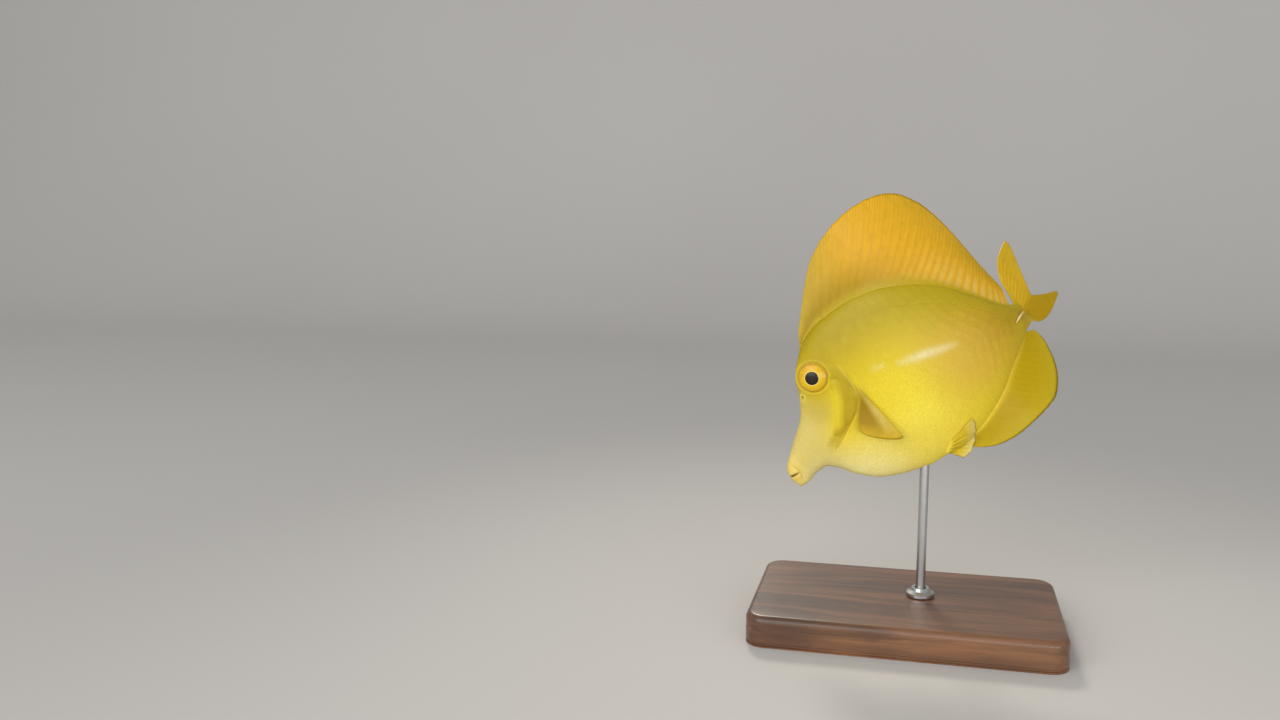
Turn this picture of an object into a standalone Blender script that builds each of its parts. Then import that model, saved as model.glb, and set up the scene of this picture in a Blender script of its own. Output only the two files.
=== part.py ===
"""Yellow tang (Zebrasoma flavescens), young fish of about 76 mm standard length,
as a still display model: head down, tail bent away, on a small stand.

The fish is drawn straight in its own frame, in millimetres: u runs from the
mouth (0) to the tail base, y to the fish's left, z to its back.  pose() then
bends and tilts that frame into place above the stand.
"""
import math

import bmesh
import bpy
import numpy as np

MM = 0.001

# ---- driving dimensions (mm, degrees) -------------------------------------
STANDARD_LENGTH = 75.5      # mouth to the end of the tail stalk
GAP = 0.3                   # clearance between neighbouring solids
RING_POINTS = 28            # points round a body section
FIN_THICKNESS = 0.7

PITCH, ROLL = 34.9, 6.0     # nose down, back towards the viewer
MOUTH_AT = (-29.6, -0.1, 38.1)   # mouth above the middle of the stand's underside
BEND_START, BEND_END = 34.0, 75.5
BEND_BODY, BEND_FIN = 55.0, 5.0      # turn to the fish's right, body then tail fin
BEND_POWER, BEND_FIN_LENGTH = 1.5, 18.0
BEND_TILT = 12.0
TWIST_BODY, TWIST_FIN, TWIST_HEIGHT = 0.5, 1.0, 1.5

EYE_AT = (20.0, 20.7)       # eye centre on the flank
EYE_RADIUS, EYE_DEPTH, EYE_PROUD = 4.1, 2.1, 1.15
JAW_END = 3.1               # jaws end, head starts a gap behind
MOUTH_LINE = 0.9
HEAD_END = 26.4
TRUNK_END = 65.8
OPERCLE_PLATE = 1.0

ROD_RADIUS, ROD_SOCKET = 1.2, 3.2
ROD_AT = 30.0               # u of the belly point the rod enters
BASE_SIZE = (78.0, 48.0, 8.0)
COLLAR_RADIUS, COLLAR_HEIGHT = 3.6, 2.2

# ---- outline stations: (u, value) ------------------------------------------
BACK = ((-0.4, 2.3), (0.0, 3.3), (2.2, 5.5), (4.7, 7.8), (7.5, 10.1), (10.4, 12.6),
        (12.7, 15.9), (15.8, 21.9), (19.0, 26.3), (23.5, 29.8), (29.0, 31.6), (36.0, 32.1),
        (44.0, 30.9), (53.5, 26.7), (61.3, 20.4), (66.4, 13.6), (70.0, 7.8), (73.0, 3.8), (75.5, 2.4))
BELLY = ((-0.4, -0.9), (0.0, -2.2), (0.8, -3.1), (3.2, -2.9), (6.0, -2.0), (8.6, -1.8), (11.8, -4.1),
         (14.6, -7.7), (19.5, -11.8), (26.5, -14.6), (33.0, -15.9), (40.0, -15.9), (46.0, -14.9),
         (51.5, -13.0), (57.5, -10.4), (62.5, -7.8), (68.0, -5.9), (72.8, -4.8), (75.5, -4.8))
HALF_WIDTH = ((-0.4, 0.9), (0.4, 1.7), (3.0, 2.25), (6.5, 2.65), (10.0, 3.2), (14.0, 4.15), (20.0, 5.1),
              (26.0, 5.55), (32.0, 5.6), (40.0, 5.15), (48.0, 4.3), (56.0, 3.4), (64.0, 2.6),
              (70.0, 2.05), (75.5, 1.75))
FULLNESS = ((-0.4, 0.9), (8.0, 0.85), (18.0, 0.8), (28.0, 1.0), (40.0, 1.25), (75.5, 1.15))

# fin rays: base u, tip (u, z)
DORSAL = ((21.0, 23.0, 32.0), (24.0, 28.0, 37.7), (27.0, 32.2, 42.3), (30.0, 36.3, 45.9), (34.0, 42.3, 48.7),
          (38.0, 47.9, 50.0), (42.0, 53.0, 50.4), (46.0, 58.6, 50.0), (50.0, 64.5, 48.7), (54.0, 70.0, 46.3),
          (58.0, 74.4, 42.8), (62.0, 77.3, 37.3), (66.0, 78.2, 30.0), (69.0, 77.8, 22.5), (71.2, 77.1, 15.4),
          (72.8, 77.0, 10.6), (74.0, 77.0, 7.7))
ANAL = ((42.0, 42.8, -17.8), (44.0, 45.5, -19.9), (46.5, 49.3, -21.5), (49.5, 54.2, -22.2), (53.0, 60.0, -22.2),
        (56.5, 64.9, -22.0), (60.0, 68.6, -20.1), (63.5, 71.6, -17.2), (67.0, 74.0, -12.8), (69.8, 75.0, -9.2),
        (72.0, 74.8, -6.7))
CAUDAL_Z, CAUDAL_BASE = -1.2, 3.3           # middle and half-height of the fin's root
CAUDAL_UPPER, CAUDAL_LOWER, CAUDAL_MID = 18.7, 20.1, 8.4      # ray lengths
CAUDAL_FORK = (1.02, 1.25)                  # how the notch deepens, upper and lower lobe
CAUDAL_ROUND = 0.10                         # the lobes' blunt corners
CAUDAL_RISE, CAUDAL_DROP, CAUDAL_FLARE = 10.4, 4.4, 4.9       # how far the lobes spread

# gill cover: front and rear edges from top to bottom, (share, u, z)
COVER_FRONT = ((0.0, 24.2, 19.6), (0.4, 21.6, 12.5), (0.75, 17.4, 6.8), (1.0, 13.2, 3.6))
COVER_REAR = ((0.0, 27.0, 20.4), (0.3, 27.5, 13.6), (0.6, 24.9, 8.2), (0.85, 19.8, 4.6), (1.0, 14.8, 1.6))

# colours (linear)
YELLOW, GOLD, IRIS = (0.80, 0.55, 0.04, 1), (0.62, 0.38, 0.03, 1), (0.75, 0.38, 0.03, 1)
WHITE, WALNUT, STEEL = (0.8, 0.78, 0.68, 1), (0.09, 0.045, 0.022, 1), (0.6, 0.6, 0.6, 1)


# ---- curves -----------------------------------------------------------------
def smooth(table, x, column=1):
    """Smooth curve through a station table that never overshoots it."""
    xs = np.array([row[0] for row in table], float)
    ys = np.array([row[column] for row in table], float)
    h, d = np.diff(xs), np.diff(ys) / np.diff(xs)
    m = np.zeros(len(xs))
    for i in range(1, len(xs) - 1):
        if d[i - 1] * d[i] > 0:
            a, b = 2 * h[i] + h[i - 1], h[i] + 2 * h[i - 1]
            m[i] = (a + b) / (a / d[i - 1] + b / d[i])
    m[0], m[-1] = d[0], d[-1]
    x = np.clip(np.asarray(x, float), xs[0], xs[-1])
    k = np.clip(np.searchsorted(xs, x, side="right") - 1, 0, len(xs) - 2)
    t = (x - xs[k]) / h[k]
    return ((1 + 2 * t) * (1 - t) ** 2 * ys[k] + t * (1 - t) ** 2 * h[k] * m[k]
            + t * t * (3 - 2 * t) * ys[k + 1] + t * t * (t - 1) * h[k] * m[k + 1])


def flank(u, z):
    """Half-width of the body at a point of its side view."""
    top, bottom = smooth(BACK, u), smooth(BELLY, u)
    c = np.clip(2 * (z - bottom) / (top - bottom) - 1, -1, 1)
    return smooth(HALF_WIDTH, u) * np.sqrt(1 - c * c) ** smooth(FULLNESS, u)


# ---- pose ---------------------------------------------------------------------
_u = np.linspace(-5, 110, 2301)
_turn = np.radians(np.where(_u < BEND_START, 0, np.where(
    _u < BEND_END, BEND_BODY * np.clip((_u - BEND_START) / (BEND_END - BEND_START), 0, 1) ** BEND_POWER,
    BEND_BODY + BEND_FIN * (_u - BEND_END) / BEND_FIN_LENGTH)))
_mid = (_turn[1:] + _turn[:-1]) / 2
_along = np.concatenate([[0], np.cumsum(np.cos(_mid)) * (_u[1] - _u[0])]) - 5
_aside = np.concatenate([[0], np.cumsum(np.sin(_mid)) * (_u[1] - _u[0])])


def axes():
    """Tailward, left and dorsal directions of the straight part of the fish."""
    p, r = math.radians(PITCH), math.radians(ROLL)
    tail = np.array((math.cos(p), 0, math.sin(p)))
    back, left = np.array((-math.sin(p), 0, math.cos(p))), np.array((0, -1.0, 0))
    return tail, left * math.cos(r) - back * math.sin(r), back * math.cos(r) + left * math.sin(r)


def pose(u, y, z):
    """From the straight fish (mm) to the model's frame (m)."""
    u, y, z = np.broadcast_arrays(*(np.asarray(a, float) for a in (u, y, z)))
    tilt = math.radians(BEND_TILT)
    x0, e0, turn = (np.interp(u, _u, a) for a in (_along, _aside, _turn))
    w = np.clip((u - 50) / (BEND_END - 50), 0, 1)
    twist = (math.radians(TWIST_BODY) * w * w * (3 - 2 * w)
             + math.radians(TWIST_FIN) * np.clip((u - BEND_END) / BEND_FIN_LENGTH, 0, 1.5))
    zz = z - TWIST_HEIGHT
    y2 = y * np.cos(twist) + zz * np.sin(twist)
    z2 = zz * np.cos(twist) - y * np.sin(twist)
    # the turn is about an axis leaning by tilt from the dorsal direction
    side = y2 * math.cos(tilt) - z2 * math.sin(tilt)
    rise = z2 * math.cos(tilt) + y2 * math.sin(tilt)
    x = x0 + side * np.sin(turn)
    side = side * np.cos(turn) - e0
    yy = side * math.cos(tilt) + rise * math.sin(tilt)
    zz = rise * math.cos(tilt) - side * math.sin(tilt) + TWIST_HEIGHT
    tail, left, back = axes()
    return (np.array(MOUTH_AT) + x[..., None] * tail + yy[..., None] * left + zz[..., None] * back) * MM


# ---- building blocks -----------------------------------------------------------
for old in list(bpy.data.objects):
    bpy.data.objects.remove(old)
parts = bpy.data.collections.new("yellow_tang")
cutters = bpy.data.collections.new("cutters")
for group in (parts, cutters):
    bpy.context.scene.collection.children.link(group)


def finish(bm, name, colour=None, roughness=0.45, metallic=0.0, angle=40):
    """A bmesh becomes a part with its own material, or a hidden cutter."""
    mesh = bpy.data.meshes.new(name)
    bm.normal_update()
    bmesh.ops.recalc_face_normals(bm, faces=bm.faces)
    bm.to_mesh(mesh)
    bm.free()
    obj = bpy.data.objects.new(name, mesh)
    if colour is None:
        cutters.objects.link(obj)
        obj.hide_render = True
        obj.display_type = "WIRE"
        return obj
    parts.objects.link(obj)
    mesh.shade_smooth()
    mesh.set_sharp_from_angle(angle=math.radians(angle))
    mat = bpy.data.materials.new(name)
    mat.use_nodes = True
    bsdf = mat.node_tree.nodes["Principled BSDF"]
    bsdf.inputs["Base Color"].default_value = colour
    bsdf.inputs["Roughness"].default_value = roughness
    bsdf.inputs["Metallic"].default_value = metallic
    mesh.materials.append(mat)
    return obj


def cut(obj, cutter, operation="DIFFERENCE"):
    mod = obj.modifiers.new(cutter.name, "BOOLEAN")
    mod.operation, mod.solver, mod.object = operation, "EXACT", cutter


def grid(points, closed=False):
    """Open sheet (or a tube, when closed) through rows of world points."""
    bm = bmesh.new()
    rows = [[bm.verts.new(p) for p in row] for row in points]
    n = len(rows[0])
    for a, b in zip(rows, rows[1:]):
        for j in range(n if closed else n - 1):
            bm.faces.new((a[j], a[(j + 1) % n], b[(j + 1) % n], b[j]))
    return bm, rows


def body_length(name, stations, colour):
    """Loft of body sections, closed at both ends."""
    a = 2 * math.pi * np.arange(RING_POINTS) / RING_POINTS
    u = np.repeat(np.asarray(stations, float)[:, None], RING_POINTS, axis=1)
    top, bottom = smooth(BACK, u), smooth(BELLY, u)
    z = bottom + (top - bottom) * (1 + np.cos(a)) / 2
    y = smooth(HALF_WIDTH, u) * np.sign(np.sin(a)) * np.abs(np.sin(a)) ** smooth(FULLNESS, u)
    bm, rows = grid(pose(u, y, z), closed=True)
    bm.faces.new(rows[0])
    bm.faces.new(rows[-1][::-1])
    return finish(bm, name, colour)


def thicken(obj, thickness, offset=0.0):
    mod = obj.modifiers.new("thickness", "SOLIDIFY")
    mod.thickness, mod.offset, mod.use_even_offset = thickness * MM, offset, True


def block(name, centre, size):
    """Box in the fish's straight part, as a cutter."""
    bm = bmesh.new()
    bmesh.ops.create_cube(bm, size=1.0)
    for v in bm.verts:
        p = [c + q * s for c, q, s in zip(centre, v.co, size)]
        v.co = pose(*p)
    return finish(bm, name)


def body_normal(u, z, side):
    """Outward direction of the flank, in the straight fish's frame."""
    du, dz = (flank(u + .5, z) - flank(u - .5, z)), (flank(u, z + .5) - flank(u, z - .5))
    n = np.array((-du, 1.0, -dz))
    n /= np.linalg.norm(n)
    return n * (1, side, 1)


# ---- head, trunk, tail ----------------------------------------------------------
snout = np.array((-0.4, -0.1, 0.4, 1.2, 2.1, JAW_END))
jaw_upper = body_length("jaw_upper", snout, YELLOW)
jaw_lower = body_length("jaw_lower", snout, YELLOW)
cut(jaw_upper, block("above_mouth", (1.5, 0, MOUTH_LINE + GAP / 2 + 5), (8, 12, 10)), "INTERSECT")
cut(jaw_lower, block("below_mouth", (1.5, 0, MOUTH_LINE - GAP / 2 - 5), (8, 12, 10)), "INTERSECT")
head = body_length("head", np.linspace(JAW_END + GAP, HEAD_END, 17), YELLOW)
trunk = body_length("trunk", np.linspace(HEAD_END + GAP, TRUNK_END, 24), YELLOW)
tail = body_length("tail", np.linspace(TRUNK_END + GAP, STANDARD_LENGTH, 8), YELLOW)

# ---- eyes ---------------------------------------------------------------------------
EYE_TILT = 0.6              # share of the flank's slope that the eye follows


def eyeball(name, side, extra, colour=None):
    n = body_normal(*EYE_AT, side)
    n = np.array((n[0] * EYE_TILT, n[1], n[2] * EYE_TILT))
    n /= np.linalg.norm(n)
    a = np.cross((0, 0, 1), n)
    a /= np.linalg.norm(a)
    b = np.cross(n, a)
    surface = float(flank(*EYE_AT))
    centre = np.array((EYE_AT[0], side * surface, EYE_AT[1])) - n * (EYE_DEPTH - EYE_PROUD)
    bm = bmesh.new()
    bmesh.ops.create_uvsphere(bm, u_segments=20, v_segments=10, radius=1.0)
    for v in bm.verts:
        x, y, z = v.co
        p = centre + (EYE_RADIUS + extra) * (x * a + y * b) + (EYE_DEPTH + extra) * z * n
        v.co = pose(*p)
    return finish(bm, name, colour, 0.08, angle=60)


# ---- gill covers ------------------------------------------------------------------------
def cover(name, side, grow, lift, colour=None):
    share = np.linspace(0, 1, 11)
    s = np.clip((share - 0.5) * (1 + 2 * grow / 26) + 0.5, -0.1, 1.1)
    f = np.stack([smooth(COVER_FRONT, s, 1), smooth(COVER_FRONT, s, 2)], -1)
    r = np.stack([smooth(COVER_REAR, s, 1), smooth(COVER_REAR, s, 2)], -1)
    across = (r - f) / np.linalg.norm(r - f, axis=1)[:, None]
    f, r = f - across * grow, r + across * grow
    if grow:
        f[0] += (0, grow)
        r[0] += (0, grow)
        f[-1] -= (0.2 * grow, grow)
        r[-1] -= (0.2 * grow, grow)
    t = np.linspace(0, 1, 6)[None, :, None]
    p = f[:, None] * (1 - t) + r[:, None] * t
    y = flank(p[..., 0], p[..., 1]) + lift
    bm, _ = grid(pose(p[..., 0], side * y, p[..., 1]))
    obj = finish(bm, name, colour)
    want = np.array(pose(20.0, side * 50.0, 5.0)) - np.array(pose(20.0, 0.0, 5.0))
    if np.dot(np.array(obj.data.polygons[12].normal), want) < 0:
        obj.data.flip_normals()
    return obj


for side, tag in ((1, "left"), (-1, "right")):
    eyeball("eye_" + tag, side, 0.0, IRIS)
    cut(head, eyeball("socket_" + tag, side, GAP))
    plate = cover("gill_cover_" + tag, side, 0.0, 0.0, YELLOW)
    thicken(plate, OPERCLE_PLATE, -1.0)
    recess = cover("cover_recess_" + tag, side, GAP + 0.05, 1.2)
    thicken(recess, OPERCLE_PLATE + 1.2 + GAP + 0.05, -1.0)
    cut(head, recess)
    cut(trunk, recess)

# ---- unpaired fins ------------------------------------------------------------------------
def ray_fin(name, table, outline, sign, rays=20, steps=6):
    """Fin on the body's ridge: rays from the base line to a row of tips."""
    base = np.linspace(table[0][0], table[-1][0], rays)
    tip_u, tip_z = smooth(table, base, 1), smooth(table, base, 2)
    base_z = smooth(outline, base) + sign * (GAP + 0.05)
    r = np.linspace(0, 1, steps)[None, :]
    u = base[:, None] + (tip_u - base)[:, None] * r
    z = base_z[:, None] + (tip_z - base_z)[:, None] * r
    edge = smooth(outline, u) + sign * (GAP + 0.05)     # never below the ridge
    z = np.maximum(z, edge) if sign > 0 else np.minimum(z, edge)
    bm, _ = grid(pose(u, 0.0, z))
    obj = finish(bm, name, GOLD)
    thicken(obj, FIN_THICKNESS)
    return obj


ray_fin("fin_dorsal", DORSAL, BACK, 1, rays=30, steps=7)
ray_fin("fin_anal", ANAL, BELLY, -1, rays=24, steps=5)

spread = np.linspace(-1, 1, 19)[:, None]
reach = np.linspace(0, 1, 12)[None, :] ** 1.25
lobe = np.where(spread > 0, CAUDAL_UPPER, CAUDAL_LOWER)
fan_out = np.where(spread > 0, CAUDAL_RISE, CAUDAL_DROP)
fork = np.where(spread > 0, *CAUDAL_FORK)
length = CAUDAL_MID + (lobe - CAUDAL_MID) * np.abs(spread) ** fork
length = length * (1 - CAUDAL_ROUND * np.clip(5 * np.abs(spread) - 4, 0, 1) ** 2)
share = reach * length / lobe
caudal_u = STANDARD_LENGTH + GAP + length * reach
caudal_z = CAUDAL_Z + spread * (CAUDAL_BASE + fan_out * (1 - (1 - share) ** CAUDAL_FLARE))
bm, _ = grid(pose(caudal_u, 0.0, caudal_z))
thicken(finish(bm, "fin_caudal", GOLD), FIN_THICKNESS)


# ---- paired fins ---------------------------------------------------------------------------
def fan(name, side, root, root_end, first, last, bulge, lift, rays=9, steps=7, curve=0.0):
    """Fan from a short base line (root to root_end, on the flank) whose first and
    last rays end at given side-view points; it stands off the body by lift."""
    t = np.linspace(0, 1, rays)[:, None]
    r = np.linspace(0, 1, steps)[None, :]
    base = np.array(root) * (1 - t) + np.array(root_end) * t
    tip = np.array(first) * (1 - t) + np.array(last) * t
    out = (tip - base) / np.linalg.norm(tip - base, axis=1)[:, None]
    tip = tip + out * (bulge * np.sin(math.pi * t) - 1.1 * (1 - t) ** 10 - 0.6 * t ** 10)
    u = base[:, :1] + (tip[:, :1] - base[:, :1]) * r
    z = base[:, 1:] + (tip[:, 1:] - base[:, 1:]) * r
    y = flank(u, z) + FIN_THICKNESS / 2 + GAP + 0.1 + lift * r ** 1.2 + curve * np.sin(math.pi * r) * np.sin(math.pi * t)
    y = np.maximum.accumulate(np.maximum(y, 0.3 * flank(base[:, :1], base[:, 1:])), axis=1) if lift > 1 else y
    bm, _ = grid(pose(u, side * y, z))
    obj = finish(bm, name, YELLOW)
    thicken(obj, FIN_THICKNESS)
    return obj


for side, tag in ((1, "left"), (-1, "right")):
    fan("fin_pectoral_" + tag, side, (28.4, 12.8), (26.8, 9.0), (31.2, -4.9), (22.4, 2.8), 0.7, 2.6)
    fan("fin_pelvic_" + tag, side, (36.8, -14.9), (39.2, -12.6), (40.0, -19.4), (47.0, -10.4), 1.5, 0.4,
        rays=7, steps=6)

# ---- folded tail spines ----------------------------------------------------------------------
SPINE_AT, SPINE_LENGTH, SPINE_HEIGHT, SPINE_DEPTH = (72.2, -0.5), 4.2, 1.0, 0.75


def tail_spine(name, side, extra, colour=None):
    """Lancet, pointing forward, lying along the tail stalk."""
    bm = bmesh.new()
    bmesh.ops.create_cone(bm, cap_ends=True, segments=12, radius1=1.0, radius2=0.12, depth=2.0)
    surface = float(flank(*SPINE_AT))
    for v in bm.verts:
        x, y, z = v.co
        u = SPINE_AT[0] - z * (SPINE_LENGTH / 2 + extra)
        p = (u, side * (surface + 0.1 + x * (SPINE_DEPTH / 2 + extra)), SPINE_AT[1] + y * (SPINE_HEIGHT / 2 + extra))
        v.co = pose(*p)
    return finish(bm, name, colour, 0.3)


for side, tag in ((1, "left"), (-1, "right")):
    tail_spine("tail_spine_" + tag, side, 0.0, WHITE)
    cut(tail, tail_spine("spine_groove_" + tag, side, GAP))

# ---- display stand --------------------------------------------------------------------------------
entry = pose(ROD_AT, 0.0, float(smooth(BELLY, ROD_AT)))
rod_top = float(entry[2]) + ROD_SOCKET * MM
rod_x, rod_y = float(entry[0]), float(entry[1])


def upright(name, radius, z0, z1, colour=None, roughness=0.3, metallic=1.0, segments=24):
    bm = bmesh.new()
    bmesh.ops.create_cone(bm, cap_ends=True, segments=segments, radius1=radius * MM, radius2=radius * MM,
                          depth=z1 - z0)
    bmesh.ops.translate(bm, verts=bm.verts, vec=(rod_x, rod_y, (z0 + z1) / 2))
    return finish(bm, name, colour, roughness, metallic, angle=30)


base_top = BASE_SIZE[2] * MM
bm = bmesh.new()
bmesh.ops.create_cube(bm, size=1.0)
bmesh.ops.scale(bm, verts=bm.verts, vec=[s * MM for s in BASE_SIZE])
bmesh.ops.translate(bm, verts=bm.verts, vec=(0, 0, base_top / 2))
corners = [e for e in bm.edges if abs(e.verts[0].co.z - e.verts[1].co.z) > 1e-4]
bmesh.ops.bevel(bm, geom=corners, offset=5 * MM, segments=5, affect="EDGES", profile=0.5)
rim = [e for e in bm.edges if all(v.co.z > base_top - 1e-6 for v in e.verts) and len(e.link_faces) == 2
       and any(abs(f.normal.z) < 0.5 for f in e.link_faces)]
bmesh.ops.bevel(bm, geom=rim, offset=1.6 * MM, segments=3, affect="EDGES", profile=0.5)
base = finish(bm, "stand_base", WALNUT, 0.35, angle=30)

rod = upright("stand_rod", ROD_RADIUS, base_top - 4 * MM, rod_top, STEEL)
cut(base, upright("rod_hole", ROD_RADIUS + GAP, base_top - 4.3 * MM, base_top + 5 * MM))
cut(trunk, upright("rod_socket", ROD_RADIUS + GAP, float(entry[2]) - 8 * MM, rod_top + GAP * MM))

collar = [(ROD_RADIUS + GAP, 0.1), (COLLAR_RADIUS, 0.1), (COLLAR_RADIUS, 0.9), (2.6, 1.5), (2.2, COLLAR_HEIGHT),
          (ROD_RADIUS + GAP, COLLAR_HEIGHT)]
bm = bmesh.new()
ring = [bm.verts.new((x * MM, 0, z * MM)) for x, z in reversed(collar)]
for i in range(len(ring)):
    bm.edges.new((ring[i], ring[(i + 1) % len(ring)]))
mesh = bpy.data.meshes.new("stand_collar")
bm.to_mesh(mesh)
bm.free()
collar = bpy.data.objects.new("stand_collar", mesh)
parts.objects.link(collar)
collar.location = (rod_x, rod_y, base_top + 0.2 * MM)
turn = collar.modifiers.new("turn", "SCREW")
turn.steps = turn.render_steps = 28
turn.use_merge_vertices, turn.merge_threshold = True, 0.00001
mat = bpy.data.materials.new("stand_collar")
mat.use_nodes = True
mat.node_tree.nodes["Principled BSDF"].inputs["Base Color"].default_value = STEEL
mat.node_tree.nodes["Principled BSDF"].inputs["Metallic"].default_value = 1.0
mat.node_tree.nodes["Principled BSDF"].inputs["Roughness"].default_value = 0.3
mesh.materials.append(mat)
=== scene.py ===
import math

import bmesh
import bpy
import numpy as np
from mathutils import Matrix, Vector


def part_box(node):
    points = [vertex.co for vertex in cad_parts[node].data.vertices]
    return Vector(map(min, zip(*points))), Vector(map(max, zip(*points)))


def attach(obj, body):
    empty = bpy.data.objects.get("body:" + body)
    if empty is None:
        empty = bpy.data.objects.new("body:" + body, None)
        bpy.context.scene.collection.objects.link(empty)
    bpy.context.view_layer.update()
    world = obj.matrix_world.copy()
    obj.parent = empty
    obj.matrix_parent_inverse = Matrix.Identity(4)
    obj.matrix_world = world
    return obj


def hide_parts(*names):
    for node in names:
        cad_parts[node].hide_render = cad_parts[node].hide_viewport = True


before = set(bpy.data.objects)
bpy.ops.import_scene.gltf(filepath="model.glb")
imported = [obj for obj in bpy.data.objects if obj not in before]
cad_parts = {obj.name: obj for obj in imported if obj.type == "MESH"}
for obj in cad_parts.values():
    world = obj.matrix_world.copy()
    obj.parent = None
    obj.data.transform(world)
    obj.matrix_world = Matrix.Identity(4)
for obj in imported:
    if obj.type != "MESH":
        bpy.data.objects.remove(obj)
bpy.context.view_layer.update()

MM = 0.001

# ---- sizes shared with the solids (mm, degrees) ---------------------------------
STANDARD_LENGTH, GAP = 75.5, 0.3
PITCH, ROLL = 34.9, 6.0
MOUTH_AT = (-29.6, -0.1, 38.1)
BEND_START, BEND_END = 34.0, 75.5
BEND_BODY, BEND_FIN = 55.0, 5.0
BEND_POWER, BEND_FIN_LENGTH, BEND_TILT = 1.5, 18.0, 12.0
TWIST_BODY, TWIST_FIN, TWIST_HEIGHT = 0.5, 1.0, 1.5
EYE_AT = (20.0, 20.7)
EYE_RADIUS, EYE_DEPTH, EYE_PROUD, EYE_TILT = 4.1, 2.1, 1.15, 0.6
MOUTH_LINE = 0.9
COAT = 0.12                 # depth of the scale coat

BACK = ((-0.4, 2.3), (0.0, 3.3), (2.2, 5.5), (4.7, 7.8), (7.5, 10.1), (10.4, 12.6),
        (12.7, 15.9), (15.8, 21.9), (19.0, 26.3), (23.5, 29.8), (29.0, 31.6), (36.0, 32.1),
        (44.0, 30.9), (53.5, 26.7), (61.3, 20.4), (66.4, 13.6), (70.0, 7.8), (73.0, 3.8), (75.5, 2.4))
BELLY = ((-0.4, -0.9), (0.0, -2.2), (0.8, -3.1), (3.2, -2.9), (6.0, -2.0), (8.6, -1.8), (11.8, -4.1),
         (14.6, -7.7), (19.5, -11.8), (26.5, -14.6), (33.0, -15.9), (40.0, -15.9), (46.0, -14.9),
         (51.5, -13.0), (57.5, -10.4), (62.5, -7.8), (68.0, -5.9), (72.8, -4.8), (75.5, -4.8))
HALF_WIDTH = ((-0.4, 0.9), (0.4, 1.7), (3.0, 2.25), (6.5, 2.65), (10.0, 3.2), (14.0, 4.15), (20.0, 5.1),
              (26.0, 5.55), (32.0, 5.6), (40.0, 5.15), (48.0, 4.3), (56.0, 3.4), (64.0, 2.6),
              (70.0, 2.05), (75.5, 1.75))
FULLNESS = ((-0.4, 0.9), (8.0, 0.85), (18.0, 0.8), (28.0, 1.0), (40.0, 1.25), (75.5, 1.15))
DORSAL = ((21.0, 23.0, 32.0), (24.0, 28.0, 37.7), (27.0, 32.2, 42.3), (30.0, 36.3, 45.9), (34.0, 42.3, 48.7),
          (38.0, 47.9, 50.0), (42.0, 53.0, 50.4), (46.0, 58.6, 50.0), (50.0, 64.5, 48.7), (54.0, 70.0, 46.3),
          (58.0, 74.4, 42.8), (62.0, 77.3, 37.3), (66.0, 78.2, 30.0), (69.0, 77.8, 22.5), (71.2, 77.1, 15.4),
          (72.8, 77.0, 10.6), (74.0, 77.0, 7.7))
ANAL = ((42.0, 42.8, -17.8), (44.0, 45.5, -19.9), (46.5, 49.3, -21.5), (49.5, 54.2, -22.2), (53.0, 60.0, -22.2),
        (56.5, 64.9, -22.0), (60.0, 68.6, -20.1), (63.5, 71.6, -17.2), (67.0, 74.0, -12.8), (69.8, 75.0, -9.2),
        (72.0, 74.8, -6.7))
CAUDAL_Z, CAUDAL_BASE = -1.2, 3.3
CAUDAL_UPPER, CAUDAL_LOWER, CAUDAL_MID = 18.7, 20.1, 8.4
CAUDAL_FORK, CAUDAL_ROUND = (1.02, 1.25), 0.10
CAUDAL_RISE, CAUDAL_DROP, CAUDAL_FLARE = 10.4, 4.4, 4.9
COVER_FRONT = ((0.0, 24.2, 19.6), (0.4, 21.6, 12.5), (0.75, 17.4, 6.8), (1.0, 13.2, 3.6))
COVER_REAR = ((0.0, 27.0, 20.4), (0.3, 27.5, 13.6), (0.6, 24.9, 8.2), (0.85, 19.8, 4.6), (1.0, 14.8, 1.6))
SPINE_AT, SPINE_LENGTH, SPINE_HEIGHT, SPINE_DEPTH = (72.2, -0.5), 4.2, 1.0, 0.75
BASE_SIZE = (78.0, 48.0, 8.0)

# fin elements, counted as in the species: spines first, then soft rays
DORSAL_SPINES, DORSAL_ELEMENTS = 5, 28
ANAL_SPINES, ANAL_ELEMENTS = 3, 24
CAUDAL_ELEMENTS = 18

# grid of the skin
FLANK_STEPS, DORSAL_STEPS, ANAL_STEPS, CAUDAL_STEPS = 102, 32, 14, 38
DORSAL_FROM, DORSAL_TO = 21.0, 74.0
PER_RAY = 6
STEP = (DORSAL_TO - DORSAL_FROM) / (PER_RAY * (DORSAL_ELEMENTS - 1))
CROWDING, LEAN = 0.45, 9.0          # rays crowd together and lean back towards the tail
ANAL_STATIONS, ANAL_PHASES = (49, 101, 151), (0, 13, 23)


# ---- curves and shapes --------------------------------------------------------------
def smooth(table, x, column=1):
    """Smooth curve through a station table that never overshoots it."""
    xs = np.array([row[0] for row in table], float)
    ys = np.array([row[column] for row in table], float)
    h, d = np.diff(xs), np.diff(ys) / np.diff(xs)
    m = np.zeros(len(xs))
    for i in range(1, len(xs) - 1):
        if d[i - 1] * d[i] > 0:
            a, b = 2 * h[i] + h[i - 1], h[i] + 2 * h[i - 1]
            m[i] = (a + b) / (a / d[i - 1] + b / d[i])
    m[0], m[-1] = d[0], d[-1]
    x = np.clip(np.asarray(x, float), xs[0], xs[-1])
    k = np.clip(np.searchsorted(xs, x, side="right") - 1, 0, len(xs) - 2)
    t = (x - xs[k]) / h[k]
    return ((1 + 2 * t) * (1 - t) ** 2 * ys[k] + t * (1 - t) ** 2 * h[k] * m[k]
            + t * t * (3 - 2 * t) * ys[k + 1] + t * t * (t - 1) * h[k] * m[k + 1])


def ease(a, b, x):
    t = np.clip((np.asarray(x, float) - a) / (b - a), 0, 1)
    return t * t * (3 - 2 * t)


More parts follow.
